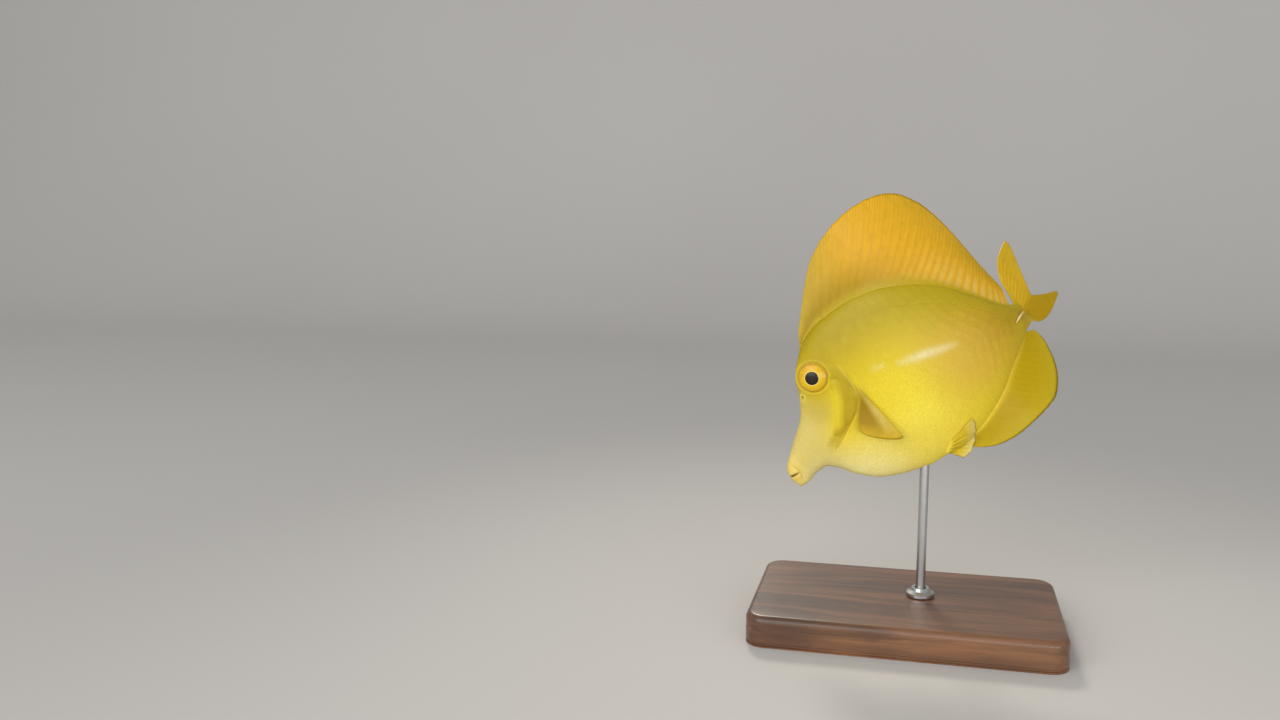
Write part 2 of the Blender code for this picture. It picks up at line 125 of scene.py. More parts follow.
def bell(x, width):
    return np.exp(-(np.asarray(x, float) / width) ** 2)


def flank(u, z):
    """Half-width of the solids' body at a point of its side view."""
    top, bottom = smooth(BACK, u), smooth(BELLY, u)
    c = np.clip(2 * (z - bottom) / (top - bottom) - 1, -1, 1)
    return smooth(HALF_WIDTH, u) * np.sqrt(1 - c * c) ** smooth(FULLNESS, u)


def skin_top(u):
    return smooth(BACK, u) - COAT


def skin_bottom(u):
    return smooth(BELLY, u) + COAT


def skin_half(u):
    """Half-width of the skin at mid-height; the tail stalk tapers into its fin."""
    return (smooth(HALF_WIDTH, u) - COAT) * (1 - 0.42 * ease(71.5, 75.5, u))


def skin_flank(u, z):
    top, bottom = skin_top(u), skin_bottom(u)
    c = np.clip(2 * (z - bottom) / (top - bottom) - 1, -1, 1)
    return skin_half(u) * np.sqrt(1 - c * c) ** smooth(FULLNESS, u)


def slope(u, z, side, shape=flank, d=0.3):
    """Outward direction of the flank, in the straight fish's frame."""
    du = (shape(u + d, z) - shape(u - d, z)) / (2 * d)
    dz = (shape(u, z + d) - shape(u, z - d)) / (2 * d)
    n = np.stack(np.broadcast_arrays(-du, np.ones_like(du), -dz), -1)
    n /= np.linalg.norm(n, axis=-1)[..., None]
    return n * np.stack(np.broadcast_arrays(1.0, side, 1.0), -1)


def line_distance(u, z, points):
    """Distance to a polyline in the side view, and how far along it (0 to 1)."""
    best = np.full(np.shape(u), 1e9)
    along = np.zeros(np.shape(u))
    n = len(points) - 1
    for i in range(n):
        (a, b), (c, d) = points[i], points[i + 1]
        length = (c - a) ** 2 + (d - b) ** 2
        t = np.clip(((u - a) * (c - a) + (z - b) * (d - b)) / length, 0, 1)
        r = np.hypot(u - a - t * (c - a), z - b - t * (d - b))
        along = np.where(r < best, (i + t) / n, along)
        best = np.minimum(best, r)
    return best, along


def table_line(table, n=24):
    s = np.linspace(table[0][0], table[-1][0], n)
    return list(zip(smooth(table, s, 1), smooth(table, s, 2)))


# ---- pose ---------------------------------------------------------------------------
_u = np.linspace(-5, 110, 2301)
_turn = np.radians(np.where(_u < BEND_START, 0, np.where(
    _u < BEND_END, BEND_BODY * np.clip((_u - BEND_START) / (BEND_END - BEND_START), 0, 1) ** BEND_POWER,
    BEND_BODY + BEND_FIN * (_u - BEND_END) / BEND_FIN_LENGTH)))
_mid = (_turn[1:] + _turn[:-1]) / 2
_along = np.concatenate([[0], np.cumsum(np.cos(_mid)) * (_u[1] - _u[0])]) - 5
_aside = np.concatenate([[0], np.cumsum(np.sin(_mid)) * (_u[1] - _u[0])])


def axes():
    p, r = math.radians(PITCH), math.radians(ROLL)
    tail = np.array((math.cos(p), 0, math.sin(p)))
    back, left = np.array((-math.sin(p), 0, math.cos(p))), np.array((0, -1.0, 0))
    return tail, left * math.cos(r) - back * math.sin(r), back * math.cos(r) + left * math.sin(r)


def pose(p):
    """From the straight fish (mm) to the model's frame (m)."""
    u, y, z = np.asarray(p, float).T
    tilt = math.radians(BEND_TILT)
    x0, e0, turn = (np.interp(u, _u, a) for a in (_along, _aside, _turn))
    w = np.clip((u - 50) / (BEND_END - 50), 0, 1)
    twist = (math.radians(TWIST_BODY) * w * w * (3 - 2 * w)
             + math.radians(TWIST_FIN) * np.clip((u - BEND_END) / BEND_FIN_LENGTH, 0, 1.5))
    zz = z - TWIST_HEIGHT
    y2 = y * np.cos(twist) + zz * np.sin(twist)
    z2 = zz * np.cos(twist) - y * np.sin(twist)
    side = y2 * math.cos(tilt) - z2 * math.sin(tilt)
    rise = z2 * math.cos(tilt) + y2 * math.sin(tilt)
    x = x0 + side * np.sin(turn)
    side = side * np.cos(turn) - e0
    yy = side * math.cos(tilt) + rise * math.sin(tilt)
    zz = rise * math.cos(tilt) - side * math.sin(tilt) + TWIST_HEIGHT
    tail, left, back = axes()
    return (np.array(MOUTH_AT) + x[:, None] * tail + yy[:, None] * left + zz[:, None] * back) * MM


# ---- mesh and node helpers -------------------------------------------------------------
def new_mesh(name, verts, faces, attributes=None, flip=True):
    """Object from points of the straight fish; pose() mirrors, so faces are turned."""
    mesh = bpy.data.meshes.new(name)
    if flip:
        faces = [f[::-1] for f in faces]
    mesh.from_pydata(np.asarray(verts).tolist(), [], faces)
    for key, values in (attributes or {}).items():
        values = np.asarray(values, np.float32)
        if values.ndim == 1:
            mesh.attributes.new(key, "FLOAT", "POINT").data.foreach_set("value", values)
        else:
            mesh.attributes.new(key, "FLOAT_VECTOR", "POINT").data.foreach_set("vector", values.ravel())
    mesh.shade_smooth()
    mesh.update()
    obj = bpy.data.objects.new(name, mesh)
    bpy.context.scene.collection.objects.link(obj)
    return obj


def srgb(r, g, b):
    return tuple(((c / 255 / 12.92) if c <= 10.3 else ((c / 255 + 0.055) / 1.055) ** 2.4) for c in (r, g, b)) + (1.0,)


class Nodes:
    """Short way to write a material's node tree."""

    def __init__(self, name):
        self.mat = bpy.data.materials.new(name)
        self.mat.use_nodes = True
        self.tree = self.mat.node_tree
        self.tree.nodes.clear()
        self.out = self.tree.nodes.new("ShaderNodeOutputMaterial")

    def put(self, socket, value):
        if isinstance(value, bpy.types.NodeSocket):
            self.tree.links.new(value, socket)
        elif value is not None:
            socket.default_value = value

    def node(self, kind, inputs=(), **settings):
        n = self.tree.nodes.new(kind)
        for key, value in settings.items():
            setattr(n, key, value)
        for key, value in dict(inputs).items():
            self.put(n.inputs[key], value)
        return n

    def math(self, op, a, b=None, c=None, clamp=False):
        n = self.node("ShaderNodeMath", operation=op, use_clamp=clamp)
        for i, v in enumerate((a, b, c)):
            if v is not None:
                self.put(n.inputs[i], v)
        return n.outputs[0]

    def mul(self, a, b):
        return self.math("MULTIPLY", a, b)

    def add(self, a, b):
        return self.math("ADD", a, b)

    def mix(self, factor, a, b, blend="MIX"):
        n = self.node("ShaderNodeMix", data_type="RGBA", blend_type=blend, clamp_factor=True)
        self.put(n.inputs[0], factor)
        self.put(n.inputs[6], a)
        self.put(n.inputs[7], b)
        return n.outputs[2]

    def span(self, value, a, b, to_a=0.0, to_b=1.0):
        """Smooth step of value from a to b."""
        n = self.node("ShaderNodeMapRange", {0: value, 1: a, 2: b, 3: to_a, 4: to_b}, interpolation_type="SMOOTHSTEP")
        return n.outputs[0]

    def attr(self, name):
        return self.node("ShaderNodeAttribute", attribute_name=name, attribute_type="GEOMETRY")

    def split(self, vector):
        return self.node("ShaderNodeSeparateXYZ", {0: vector}).outputs

    def join(self, x, y, z):
        return self.node("ShaderNodeCombineXYZ", {0: x, 1: y, 2: z}).outputs[0]

    def noise(self, vector, scale, detail=2.0, rough=0.5, distortion=0.0):
        n = self.node("ShaderNodeTexNoise", {"Vector": vector, "Scale": scale, "Detail": detail,
                                             "Roughness": rough, "Distortion": distortion})
        return n.outputs[0]

    def stripes(self, phase, sharp):
        """1 at whole numbers of phase, 0 half way between, narrower as sharp grows."""
        wave = self.math("COSINE", self.mul(phase, 2 * math.pi))
        up = self.math("MULTIPLY_ADD", wave, 0.5, 0.5)
        return self.math("POWER", up, sharp)

    def bump(self, height, strength, distance, normal=None):
        inputs = {"Height": height, "Strength": strength, "Distance": distance}
        if normal is not None:
            inputs["Normal"] = normal
        return self.node("ShaderNodeBump", inputs).outputs[0]

    def shader(self, socket):
        self.tree.links.new(socket, self.out.inputs["Surface"])
        return self.mat


# ---- camera ------------------------------------------------------------------------------
camera_data = bpy.data.cameras.new("camera")
camera = bpy.data.objects.new("camera", camera_data)
bpy.context.scene.collection.objects.link(camera)
camera.location = (0.002042, -0.299230, 0.112583)
camera.rotation_euler = (math.radians(90 - 8.199), 0, math.radians(13.82))
camera_data.lens, camera_data.sensor_width, camera_data.sensor_fit = 36 * 1155 / 1280, 36, "HORIZONTAL"
camera_data.clip_start, camera_data.clip_end = 0.01, 20
bpy.context.scene.camera = camera

# ---- markings, painted shade and painted light: where each colour lies, as shares 0 to 1 of the side view ---
GILL_EDGE = table_line(COVER_REAR)
CHEEK_FRONT = table_line(COVER_FRONT)
GILL_TOP = [(27.0, 20.4), (25.9, 21.3), (24.3, 21.6)]
STREAK = [(39.8, 12.2), (46.5, 10.1), (53.6, 7.3)]
STREAK_SPOT = [(34.2, 14.5), (36.2, 13.9)]
STRIP = [(23.8, 16.4), (22.0, 12.4), (19.4, 8.4), (17.2, 5.4)]
THROAT = [(21.0, 6.3), (18.2, 4.4), (15.8, 2.9)]
# line of painted shade under the pectoral fin
PECTORAL_SHADE_LINE = [(27.3, 11.0), (25.6, 7.6), (24.6, 4.2)]
NOSTRILS = [(13.7, 16.3, 0.24), (14.7, 17.5, 0.34)]
LATERAL = ((26.0, 23.4), (30.0, 26.0), (36.0, 27.2), (44.0, 25.6), (53.0, 20.8), (60.0, 15.0), (65.0, 8.6),
           (70.0, 2.6), (75.5, -0.9))


def height_share(u, z):
    top, bottom = smooth(BACK, u), smooth(BELLY, u)
    return (z - bottom) / (top - bottom)


def inside_cover(u, z):
    """1 on the gill cover and cheek, falling to 0 outside, over about a millimetre."""
    front = np.interp(z, [p[1] for p in CHEEK_FRONT[::-1]], [p[0] for p in CHEEK_FRONT[::-1]])
    rear = np.interp(z, [p[1] for p in GILL_EDGE[::-1]], [p[0] for p in GILL_EDGE[::-1]])
    return ease(front - 1.2, front + 1.6, u) * ease(rear + 0.35, rear - 0.35, u) * ease(0.0, 6.5, z) * ease(22.5, 17.0, z)


def masks(u, z):
    """Vectors of shares at points of the flank: markings, painted shade and painted light."""
    h = height_share(u, z)
    eye = np.hypot(u - EYE_AT[0], z - EYE_AT[1])
    # back: painted shade that darkens the upper flank towards olive
    back = ease(0.50, 0.94, h) * ease(8, 26, u)
    # rear: painted shade on the tail stalk, less low down
    rear = ease(36, 68, u) * (1 - 0.45 * ease(3, -9, z))
    # cream: paler belly, partly its own colour and partly painted light from below
    cream = ease(0.46, 0.04, h) * ease(52, 22, u) * (0.3 + 0.7 * ease(34, 16, u))
    snout = ease(21.0, 11.0, u + 0.25 * np.abs(z - 9)) * ease(-2.4, 1.4, u)
    cheek = inside_cover(u, z)
    # strip: bright edge of the cheek, partly its own lemon and partly painted highlight
    d, a = line_distance(u, z, STRIP)
    strip = bell(d, 1.2) * (0.35 + 0.65 * ease(0.0, 0.3, a)) * ease(1.02, 0.8, a)
    d1, a1 = line_distance(u, z, STREAK)
    d2, _ = line_distance(u, z, STREAK_SPOT)
    wide = 0.55 + 0.55 * np.sin(np.pi * np.clip(0.08 + 0.84 * a1, 0, 1)) ** 0.8
    streak = np.maximum(bell(d1, wide) * (0.30 + 0.70 * np.sin(np.pi * np.clip(a1, 0, 1)) ** 0.7), 0.35 * bell(d2, 0.8))
    lips = ease(4.6, 0.2, u)
    # painted shade in the throat groove, gill slit, nostrils, mouth slit and behind the lips
    d3, a3 = line_distance(u, z, THROAT)
    painted_groove_shade = 0.42 * bell(d3, 0.42) * (1 - 0.4 * a3)
    d4, a4 = line_distance(u, z, GILL_EDGE)
    painted_groove_shade = np.maximum(painted_groove_shade, 0.26 * bell(d4 - 0.1, 0.42) * ease(0.0, 0.25, a4))
    # painted shade under the pectoral fin, in the cheek's olive
    d5, _ = line_distance(u, z, PECTORAL_SHADE_LINE)
    cheek = np.maximum(cheek, 0.9 * bell(d5, 2.0))
    for a, b, r in NOSTRILS:
        painted_groove_shade = np.maximum(painted_groove_shade, 0.75 * ease(1.25 * r, 0.6 * r, np.hypot(u - a, z - b)))
    painted_groove_shade = np.maximum(painted_groove_shade, 0.62 * bell(z - MOUTH_LINE, 0.3) * ease(3.1, 1.9, u))
    lip = np.abs(z - MOUTH_LINE)
    painted_groove_shade = np.maximum(painted_groove_shade, 0.24 * bell(u - 2.6 + 0.10 * lip ** 2, 0.30) * ease(3.4, 1.4, lip))
    # painted light: a brighter patch on the lower mid flank
    painted_light_spot = bell(np.hypot((u - 37) / 1.7, z + 1.0), 9.0)
    orbit = bell(eye - 4.6, 1.2)
    return (np.stack([back, rear, cream], -1), np.stack([snout, cheek, strip], -1),
            np.stack([streak, lips, painted_groove_shade], -1), np.stack([painted_light_spot, orbit, np.zeros_like(painted_light_spot)], -1))


# ---- relief of the skin ------------------------------------------------------------------------
def relief(u, z):
    """Outward shift of the flank (mm): lips, folds, gill cover, nostrils, grooves."""
    lip = np.abs(z - MOUTH_LINE)
    shift = 0.16 * bell(lip - 0.75, 0.5) * ease(2.6, 1.3, u) - 0.27 * bell(u - 2.55 + 0.10 * lip ** 2, 0.32) * ease(3.4, 1.6, lip)
    shift -= 0.95 * bell(z - MOUTH_LINE, 0.24) * ease(2.9, 0.6, u)
    cover = inside_cover(u, z)
    d, a = line_distance(u, z, GILL_EDGE)
    shift += 0.08 * cover - 0.24 * bell(d - 0.15, 0.30) * (1 - 0.7 * cover) * ease(0.0, 0.35, a)
    d, a = line_distance(u, z, GILL_TOP)
    shift -= 0.05 * bell(d, 0.45) * ease(1.0, 0.3, a)
    d, a = line_distance(u, z, STRIP)
    shift += 0.10 * bell(d, 0.7)
    shift -= 0.13 * bell(d - 1.25, 0.4)
    d, a = line_distance(u, z, THROAT)
    shift -= 0.16 * bell(d, 0.3) * ease(0, 0.2, a) * ease(1, 0.8, a)
    for cu, cz, r in NOSTRILS:
        d = np.hypot(u - cu, z - cz)
        shift += 0.12 * bell(d - 1.5 * r, 0.5 * r) - 0.5 * ease(1.05 * r, 0.45 * r, d)
    # pad under the pectoral fin's root
    d = np.hypot((u - 27.6) / 1.2, z - 10.8)
    shift += 0.30 * bell(d, 1.5)
    # groove that holds the folded tail spine
    d = np.hypot((u - SPINE_AT[0]) / 4.6, (z - SPINE_AT[1]) / 1.05)
    shift -= 0.30 * ease(1.0, 0.45, d / 0.62)
    # lateral line, faint muscle blocks
    line = smooth(LATERAL, u)
    shift -= 0.03 * bell(z - line, 0.22) * ease(26, 28, u) * ease(75, 72, u)
    chevron = (u - 30) / 2.6 + 0.18 * np.abs(z - 4.0) - 0.12 * np.maximum(np.abs(z - 4.0) - 10, 0)
    shift += 0.013 * np.cos(2 * np.pi * chevron) * ease(30, 38, u) * ease(75, 68, u)
    h = height_share(u, z)
    return shift * ease(0.0, 0.05, h) * ease(1.0, 0.95, h)


def eye_frame(side):
    n = slope(*map(np.asarray, map(float, EYE_AT)), side)
    n = np.array((n[0] * EYE_TILT, n[1], n[2] * EYE_TILT))
    n /= np.linalg.norm(n)
    a = np.cross((0, 0, 1), n)
    a /= np.linalg.norm(a)
    b = np.cross(n, a)
    centre = np.array((EYE_AT[0], side * float(flank(*EYE_AT)), EYE_AT[1])) - n * (EYE_DEPTH - EYE_PROUD)
    return centre, a, b, n


def dome(r):
    return EYE_DEPTH * np.sqrt(np.clip(1 - (r / EYE_RADIUS) ** 2, 0, 1))


def socket(p, side):
    """Sinks the skin under the eye and raises a soft rim round it."""
    centre, a, b, n = eye_frame(side)
    d = p - centre
    x, y, h = d @ a, d @ b, d @ n
    r = np.hypot(x, y)
    rim = np.maximum(h, 0.25 - 0.10 * (r - 4.0)) + 0.10 * bell(r - 4.28, 0.40)
    h = np.where(r < 7.5, h + (rim - h) * ease(6.2, 4.3, r), h)
    under = dome(np.minimum(r, 4.05)) - 0.55 - 0.25 * ease(3.9, 2.0, r)
    h = h + (np.minimum(under, h) - h) * ease(4.02, 3.74, r)
    return np.where((r < 7.5)[:, None], centre + x[:, None] * a + y[:, None] * b + h[:, None] * n, p)


def on_skin(u, z, side):
    """Points on the finished skin over the flank."""
    y = side * skin_flank(u, z)
    p = np.stack([u, y, z], -1)
    p = p + slope(u, z, side, skin_flank) * relief(u, z)[:, None]
    return socket(p, side)


# ---- fins: thickness of membrane and rays ---------------------------------------------------------
def ray_shape(phase, r, spines, soft=True):
    """0 to 1 across a fin element; soft rays fork towards their tips."""
    d = np.abs(phase - np.round(phase))
    fork = ease(0.42, 0.72, r) * (np.round(phase) >= spines) if soft else 0.0
    return (1 - fork) * bell(d, 0.17) + fork * 0.8 * bell(d - 0.17, 0.11)


def fin_half(phase, r, spines, root=0.33, ray=0.14):
    """Half thickness of a fin; it stays within the solids' 0.35 mm."""
    body = 0.07 + 0.10 * (1 - r) ** 1.5
    relief_ = ray_shape(phase, r, spines) * (ray * (1 - 0.55 * r))
    stout = np.where(np.round(phase) < spines, 1.25, 1.0)
    t = body + relief_ * stout
    return t + (root - t) * ease(0.10, 0.0, r)


# ---- skin: body, both long fins and the tail fin in one closed surface -------------------------------
dorsal_k = np.arange(PER_RAY * (DORSAL_ELEMENTS - 1) + 1)
share_k = dorsal_k / dorsal_k[-1]
dorsal_u = DORSAL_FROM + (DORSAL_TO - DORSAL_FROM) * (share_k + CROWDING * share_k * (1 - share_k))
front = [np.arange(-0.28, 3.85, 0.19), DORSAL_FROM + STEP * np.arange(-52, 0)]
first = len(front[0]) + len(front[1])                   # station where the dorsal fin starts
stations = np.concatenate(front + [dorsal_u, np.linspace(DORSAL_TO, STANDARD_LENGTH - 0.1, 7)[1:]])
columns = ANAL_STEPS + FLANK_STEPS + DORSAL_STEPS + 1
low, high = ANAL_STEPS, ANAL_STEPS + FLANK_STEPS       # columns of the two ridges

t = np.linspace(0, 1, FLANK_STEPS + 1)
share = 0.4 * t + 0.6 * (1 - np.cos(np.pi * t)) / 2

rings, datas, kinds = [], [], []                        # per ring: points, ray data, 0 on the flank


def blank():
    return np.zeros((columns, 3)), np.zeros((columns, 3)), np.ones(columns)


for q, push, wide in ((0.07, 1.15, 0.50), (0.10, 0.80, 0.62), (0.15, 0.45, 0.72), (0.22, 0.15, 0.80),
                      (0.32, -0.10, 0.86), (0.46, -0.27, 0.90), (0.62, -0.345, 0.93), (0.78, -0.355, 0.96),
                      (0.91, -0.33, 0.985)):
    p, d, kind = blank()
    u0 = stations[0]
    z = skin_bottom(u0) + (skin_top(u0) - skin_bottom(u0)) * share
    p[low:high + 1, 2] = MOUTH_LINE + (z - MOUTH_LINE) * q
    p[low:high + 1, 1] = skin_flank(u0, z) * wide * (1 if q > 0.3 else 0.95)
    p[:, 0] = push
    p[low, 1] = p[high, 1] = 0
    # share of painted shade inside the mouth, more further in
    d[:, 2] = 1 - q if q < 0.5 else 0.0
    rings.append((p, d, kind, False, False))

for k, u0 in enumerate(stations):
    p, d, kind = blank()
    top, bottom = float(skin_top(u0)), float(skin_bottom(u0))
    z = bottom + (top - bottom) * share
    p[low:high + 1, 0], p[low:high + 1, 2] = u0, z
    y = skin_flank(np.full_like(z, u0), z)
    up = first <= k < first + len(dorsal_k)
    down = ANAL_STATIONS[0] <= k - first <= ANAL_STATIONS[-1]
    kind[low:high + 1] = 0
    phase_d = (k - first) / PER_RAY
    phase_a = float(np.interp(k - first, ANAL_STATIONS, ANAL_PHASES))
    d[:, 0] = np.where(np.arange(columns) > (low + high) / 2, phase_d, phase_a)
    if up:
        r = (np.arange(1, DORSAL_STEPS + 1) / DORSAL_STEPS) ** 1.08
        scallop = 1 - 0.006 * (1 - ray_shape(phase_d, 0.0, 99))
        at = u0 + LEAN * math.sin(math.pi * (u0 - DORSAL_FROM) / (DORSAL_TO - DORSAL_FROM))
        tu, tz = float(smooth(DORSAL, at, 1)), float(smooth(DORSAL, at, 2))
        root = float(fin_half(phase_d, 0.0, DORSAL_SPINES))
        fu = u0 + (tu - u0) * r * scallop
        fz = top + (tz - 0.1 - top) * r * scallop
        fz = np.maximum(fz, smooth(BACK, fu) - 0.1 + 0.35 * ease(0, 0.1, r))
        p[high + 1:, 0], p[high + 1:, 2] = fu, fz
        p[high + 1:, 1] = fin_half(phase_d, r, DORSAL_SPINES, root, 0.11)
        d[high + 1:, 1] = r
        p[-1, 1] = 0
        y[-1] = root
        y[-4:-1] = np.maximum(y[-4:-1], root)
    else:
        y[-1] = 0
    if down:
        r = (np.arange(ANAL_STEPS, 0, -1) / ANAL_STEPS) ** 1.08
        scallop = 1 - 0.008 * (1 - ray_shape(phase_a, 0.0, 99))
        tu, tz = float(smooth(ANAL, u0, 1)), float(smooth(ANAL, u0, 2))
        root = float(fin_half(phase_a, 0.0, ANAL_SPINES, ray=0.03))
        fu = u0 + (tu - u0) * r * scallop
        fz = bottom + (tz + 0.1 - bottom) * r * scallop
        fz = np.minimum(fz, smooth(BELLY, fu) + 0.1 - 0.3 * ease(0, 0.1, r))
        p[:low, 0], p[:low, 2] = fu, fz
        p[:low, 1] = fin_half(phase_a, r, ANAL_SPINES, root, 0.03)
        d[:low, 1] = r
        p[0, 1] = 0
        y[0] = root
        y[1:4] = np.maximum(y[1:4], root)
    else:
        y[0] = 0
    p[low:high + 1, 1] = y
    rings.append((p, d, kind, up, down))

for j in range(1, CAUDAL_STEPS + 1):
    r = (j / CAUDAL_STEPS) ** 0.97
    p, d, kind = blank()
    i = np.arange(FLANK_STEPS + 1)
    s = 2 * i / FLANK_STEPS - 1
    phase = i * (CAUDAL_ELEMENTS - 1) / FLANK_STEPS
    lobe = np.where(s > 0, CAUDAL_UPPER, CAUDAL_LOWER)
    fan = np.where(s > 0, CAUDAL_RISE, CAUDAL_DROP)
    length = CAUDAL_MID + (lobe - CAUDAL_MID) * np.abs(s) ** np.where(s > 0, *CAUDAL_FORK)
    length = length * (1 - CAUDAL_ROUND * np.clip(5 * np.abs(s) - 4, 0, 1) ** 2)
    length = length - 0.12 - 0.16 * (1 - ray_shape(phase, 0.0, 99)) * r
    reach = r * length / lobe
    u = STANDARD_LENGTH + (GAP + length) * r
    z = CAUDAL_Z + s * (CAUDAL_BASE + fan * (1 - (1 - reach) ** CAUDAL_FLARE))
    blend_in = ease(0.0, 0.16, r)
    stalk = skin_bottom(75.4) + (skin_top(75.4) - skin_bottom(75.4)) * share
    z = stalk + (z - stalk) * blend_in
    flesh = float(skin_half(75.4)) * np.sqrt(np.clip(1 - (2 * share - 1) ** 2, 0, 1)) ** 1.15
    thin = 0.06 + 0.07 * (1 - r) + ray_shape(phase, r, 0) * 0.15 * (1 - 0.6 * r)
    y = flesh * (1 - ease(0.0, 0.15, r)) + thin * ease(0.0, 0.13, r)
    y[0] = y[-1] = 0
    if j == CAUDAL_STEPS:
        y[:] = 0
    p[low:high + 1] = np.stack([u, y, z], -1)
    d[:, 0] = 0
    d[low:high + 1, 0] = phase
    d[:, 1] = r
    rings.append((p, d, kind, False, False))

n_rings = len(rings)
points = np.stack([r[0] for r in rings])
data = np.stack([r[1] for r in rings])
kind = np.stack([r[2] for r in rings])
left = np.arange(n_rings * columns).reshape(n_rings, columns)
right = left + n_rings * columns
for k, (_, _, _, up, down) in enumerate(rings):
    if up:
        right[k, -1] = left[k, -1]
    else:
        left[k, high:] = right[k, high:] = left[k, high]
    if down:
        right[k, 0] = left[k, 0]
    else:
        left[k, :low + 1] = right[k, :low + 1] = left[k, low]
right[-1] = left[-1]


def quads(a, flip):
    q = np.stack([a[:-1, :-1], a[1:, :-1], a[1:, 1:], a[:-1, 1:]], -1).reshape(-1, 4)
    return q[:, ::-1] if flip else q


faces = [f for f in np.concatenate([quads(left, False), quads(right, True)]).tolist()]
half = FLANK_STEPS // 2
for side_ids, flip in ((left, False), (right, True)):   # closes the mouth's inner end
    for i in range(half):
        f = [side_ids[0, low + i], side_ids[0, low + i + 1], side_ids[0, high - i - 1], side_ids[0, high - i]]
        faces.append([int(x) for x in (f if not flip else f[::-1])])


def tidy(face):
    out = []
    for v in face:
        if v not in out:
            out.append(v)
    return out if len(out) > 2 else None


faces = [f for f in map(tidy, faces) if f]
used = np.zeros(2 * n_rings * columns, bool)
for f in faces:
    used[f] = True
index = np.cumsum(used) - 1
all_points = np.concatenate([points.reshape(-1, 3), points.reshape(-1, 3) * (1, -1, 1)])[used]
all_data = np.concatenate([data.reshape(-1, 3)] * 2)[used]
all_kind = np.concatenate([kind.ravel()] * 2)[used]
ring_of = np.tile(np.repeat(np.arange(n_rings), columns), 2)[used]
column_of = np.tile(np.tile(np.arange(columns), n_rings), 2)[used]
faces = [[int(index[v]) for v in f] for f in faces]

on_fin = ((column_of > high) | (column_of < low)).astype(float)
is_dorsal = (column_of > high).astype(float)
is_anal = (column_of < low).astype(float)
is_caudal = (ring_of >= n_rings - CAUDAL_STEPS).astype(float)
is_mouth = (ring_of < 9).astype(float)
skin = new_mesh("tang_skin", all_points, faces, {
    "ray": all_data, "kind": all_kind, "which": np.stack([is_dorsal, is_anal, is_caudal], -1),
    "paired": np.stack([np.zeros_like(is_dorsal), np.zeros_like(is_dorsal), is_mouth * all_data[:, 2]], -1)})

# finer faces round the eyes, gill slits and nostrils
bm = bmesh.new()
bm.from_mesh(skin.data)
for width in (1, 2):
    centres = np.array([f.calc_center_median() for f in bm.faces])
    u, z = centres[:, 0], centres[:, 2]
    body = np.abs(centres[:, 1]) > 0.35
    near_eye = np.abs(np.hypot(u - EYE_AT[0], z - EYE_AT[1]) - 4.0) < (1.6 if width == 1 else 0.62)
    d, _ = line_distance(u, z, GILL_EDGE)
    near_gill = d < (0.85 if width == 1 else 0.42)
    near_nose = np.min([np.hypot(u - a, z - b) - 2 * r for a, b, r in NOSTRILS], axis=0) < (0.5 if width == 1 else 0.15)
    chosen = (near_eye | near_gill | near_nose) & body & (u > 8) & (u < 32)
    bm.faces.ensure_lookup_table()
    edges = list({e for i in np.nonzero(chosen)[0] for e in bm.faces[i].edges})
    bmesh.ops.subdivide_edges(bm, edges=edges, cuts=1, use_grid_fill=True)
bm.to_mesh(skin.data)
bm.free()


def read(mesh, key, width):
    values = np.zeros(len(mesh.attributes[key].data) * width, np.float32)
    mesh.attributes[key].data.foreach_get("value" if width == 1 else "vector", values)
    return values.reshape(-1, width) if width > 1 else values


def coords(mesh):
    co = np.zeros(len(mesh.vertices) * 3, np.float32)
    mesh.vertices.foreach_get("co", co)
    return co.reshape(-1, 3).astype(float)


co, kind = coords(skin.data), read(skin.data, "kind", 1)
flat = co.copy()
# the flank's own relief
for side in (1, -1):
    pick = (kind < 0.5) & (co[:, 1] * side > 0.36)
    u, z = co[pick, 0], co[pick, 2]
    co[pick] = on_skin(u, z, side)
ray = read(skin.data, "ray", 3)
which = read(skin.data, "which", 3)
fin = which[:, 0] * ease(0.0, 0.16, ray[:, 1]) + which[:, 1] * ease(0.0, 0.16, ray[:, 1]) + which[:, 2] * ease(0.02, 0.2, ray[:, 1])
skin_parts = [(co, flat, ray, which, read(skin.data, "paired", 3), fin)]
skin_faces = [[list(p.vertices) for p in skin.data.polygons]]
bpy.data.objects.remove(skin)


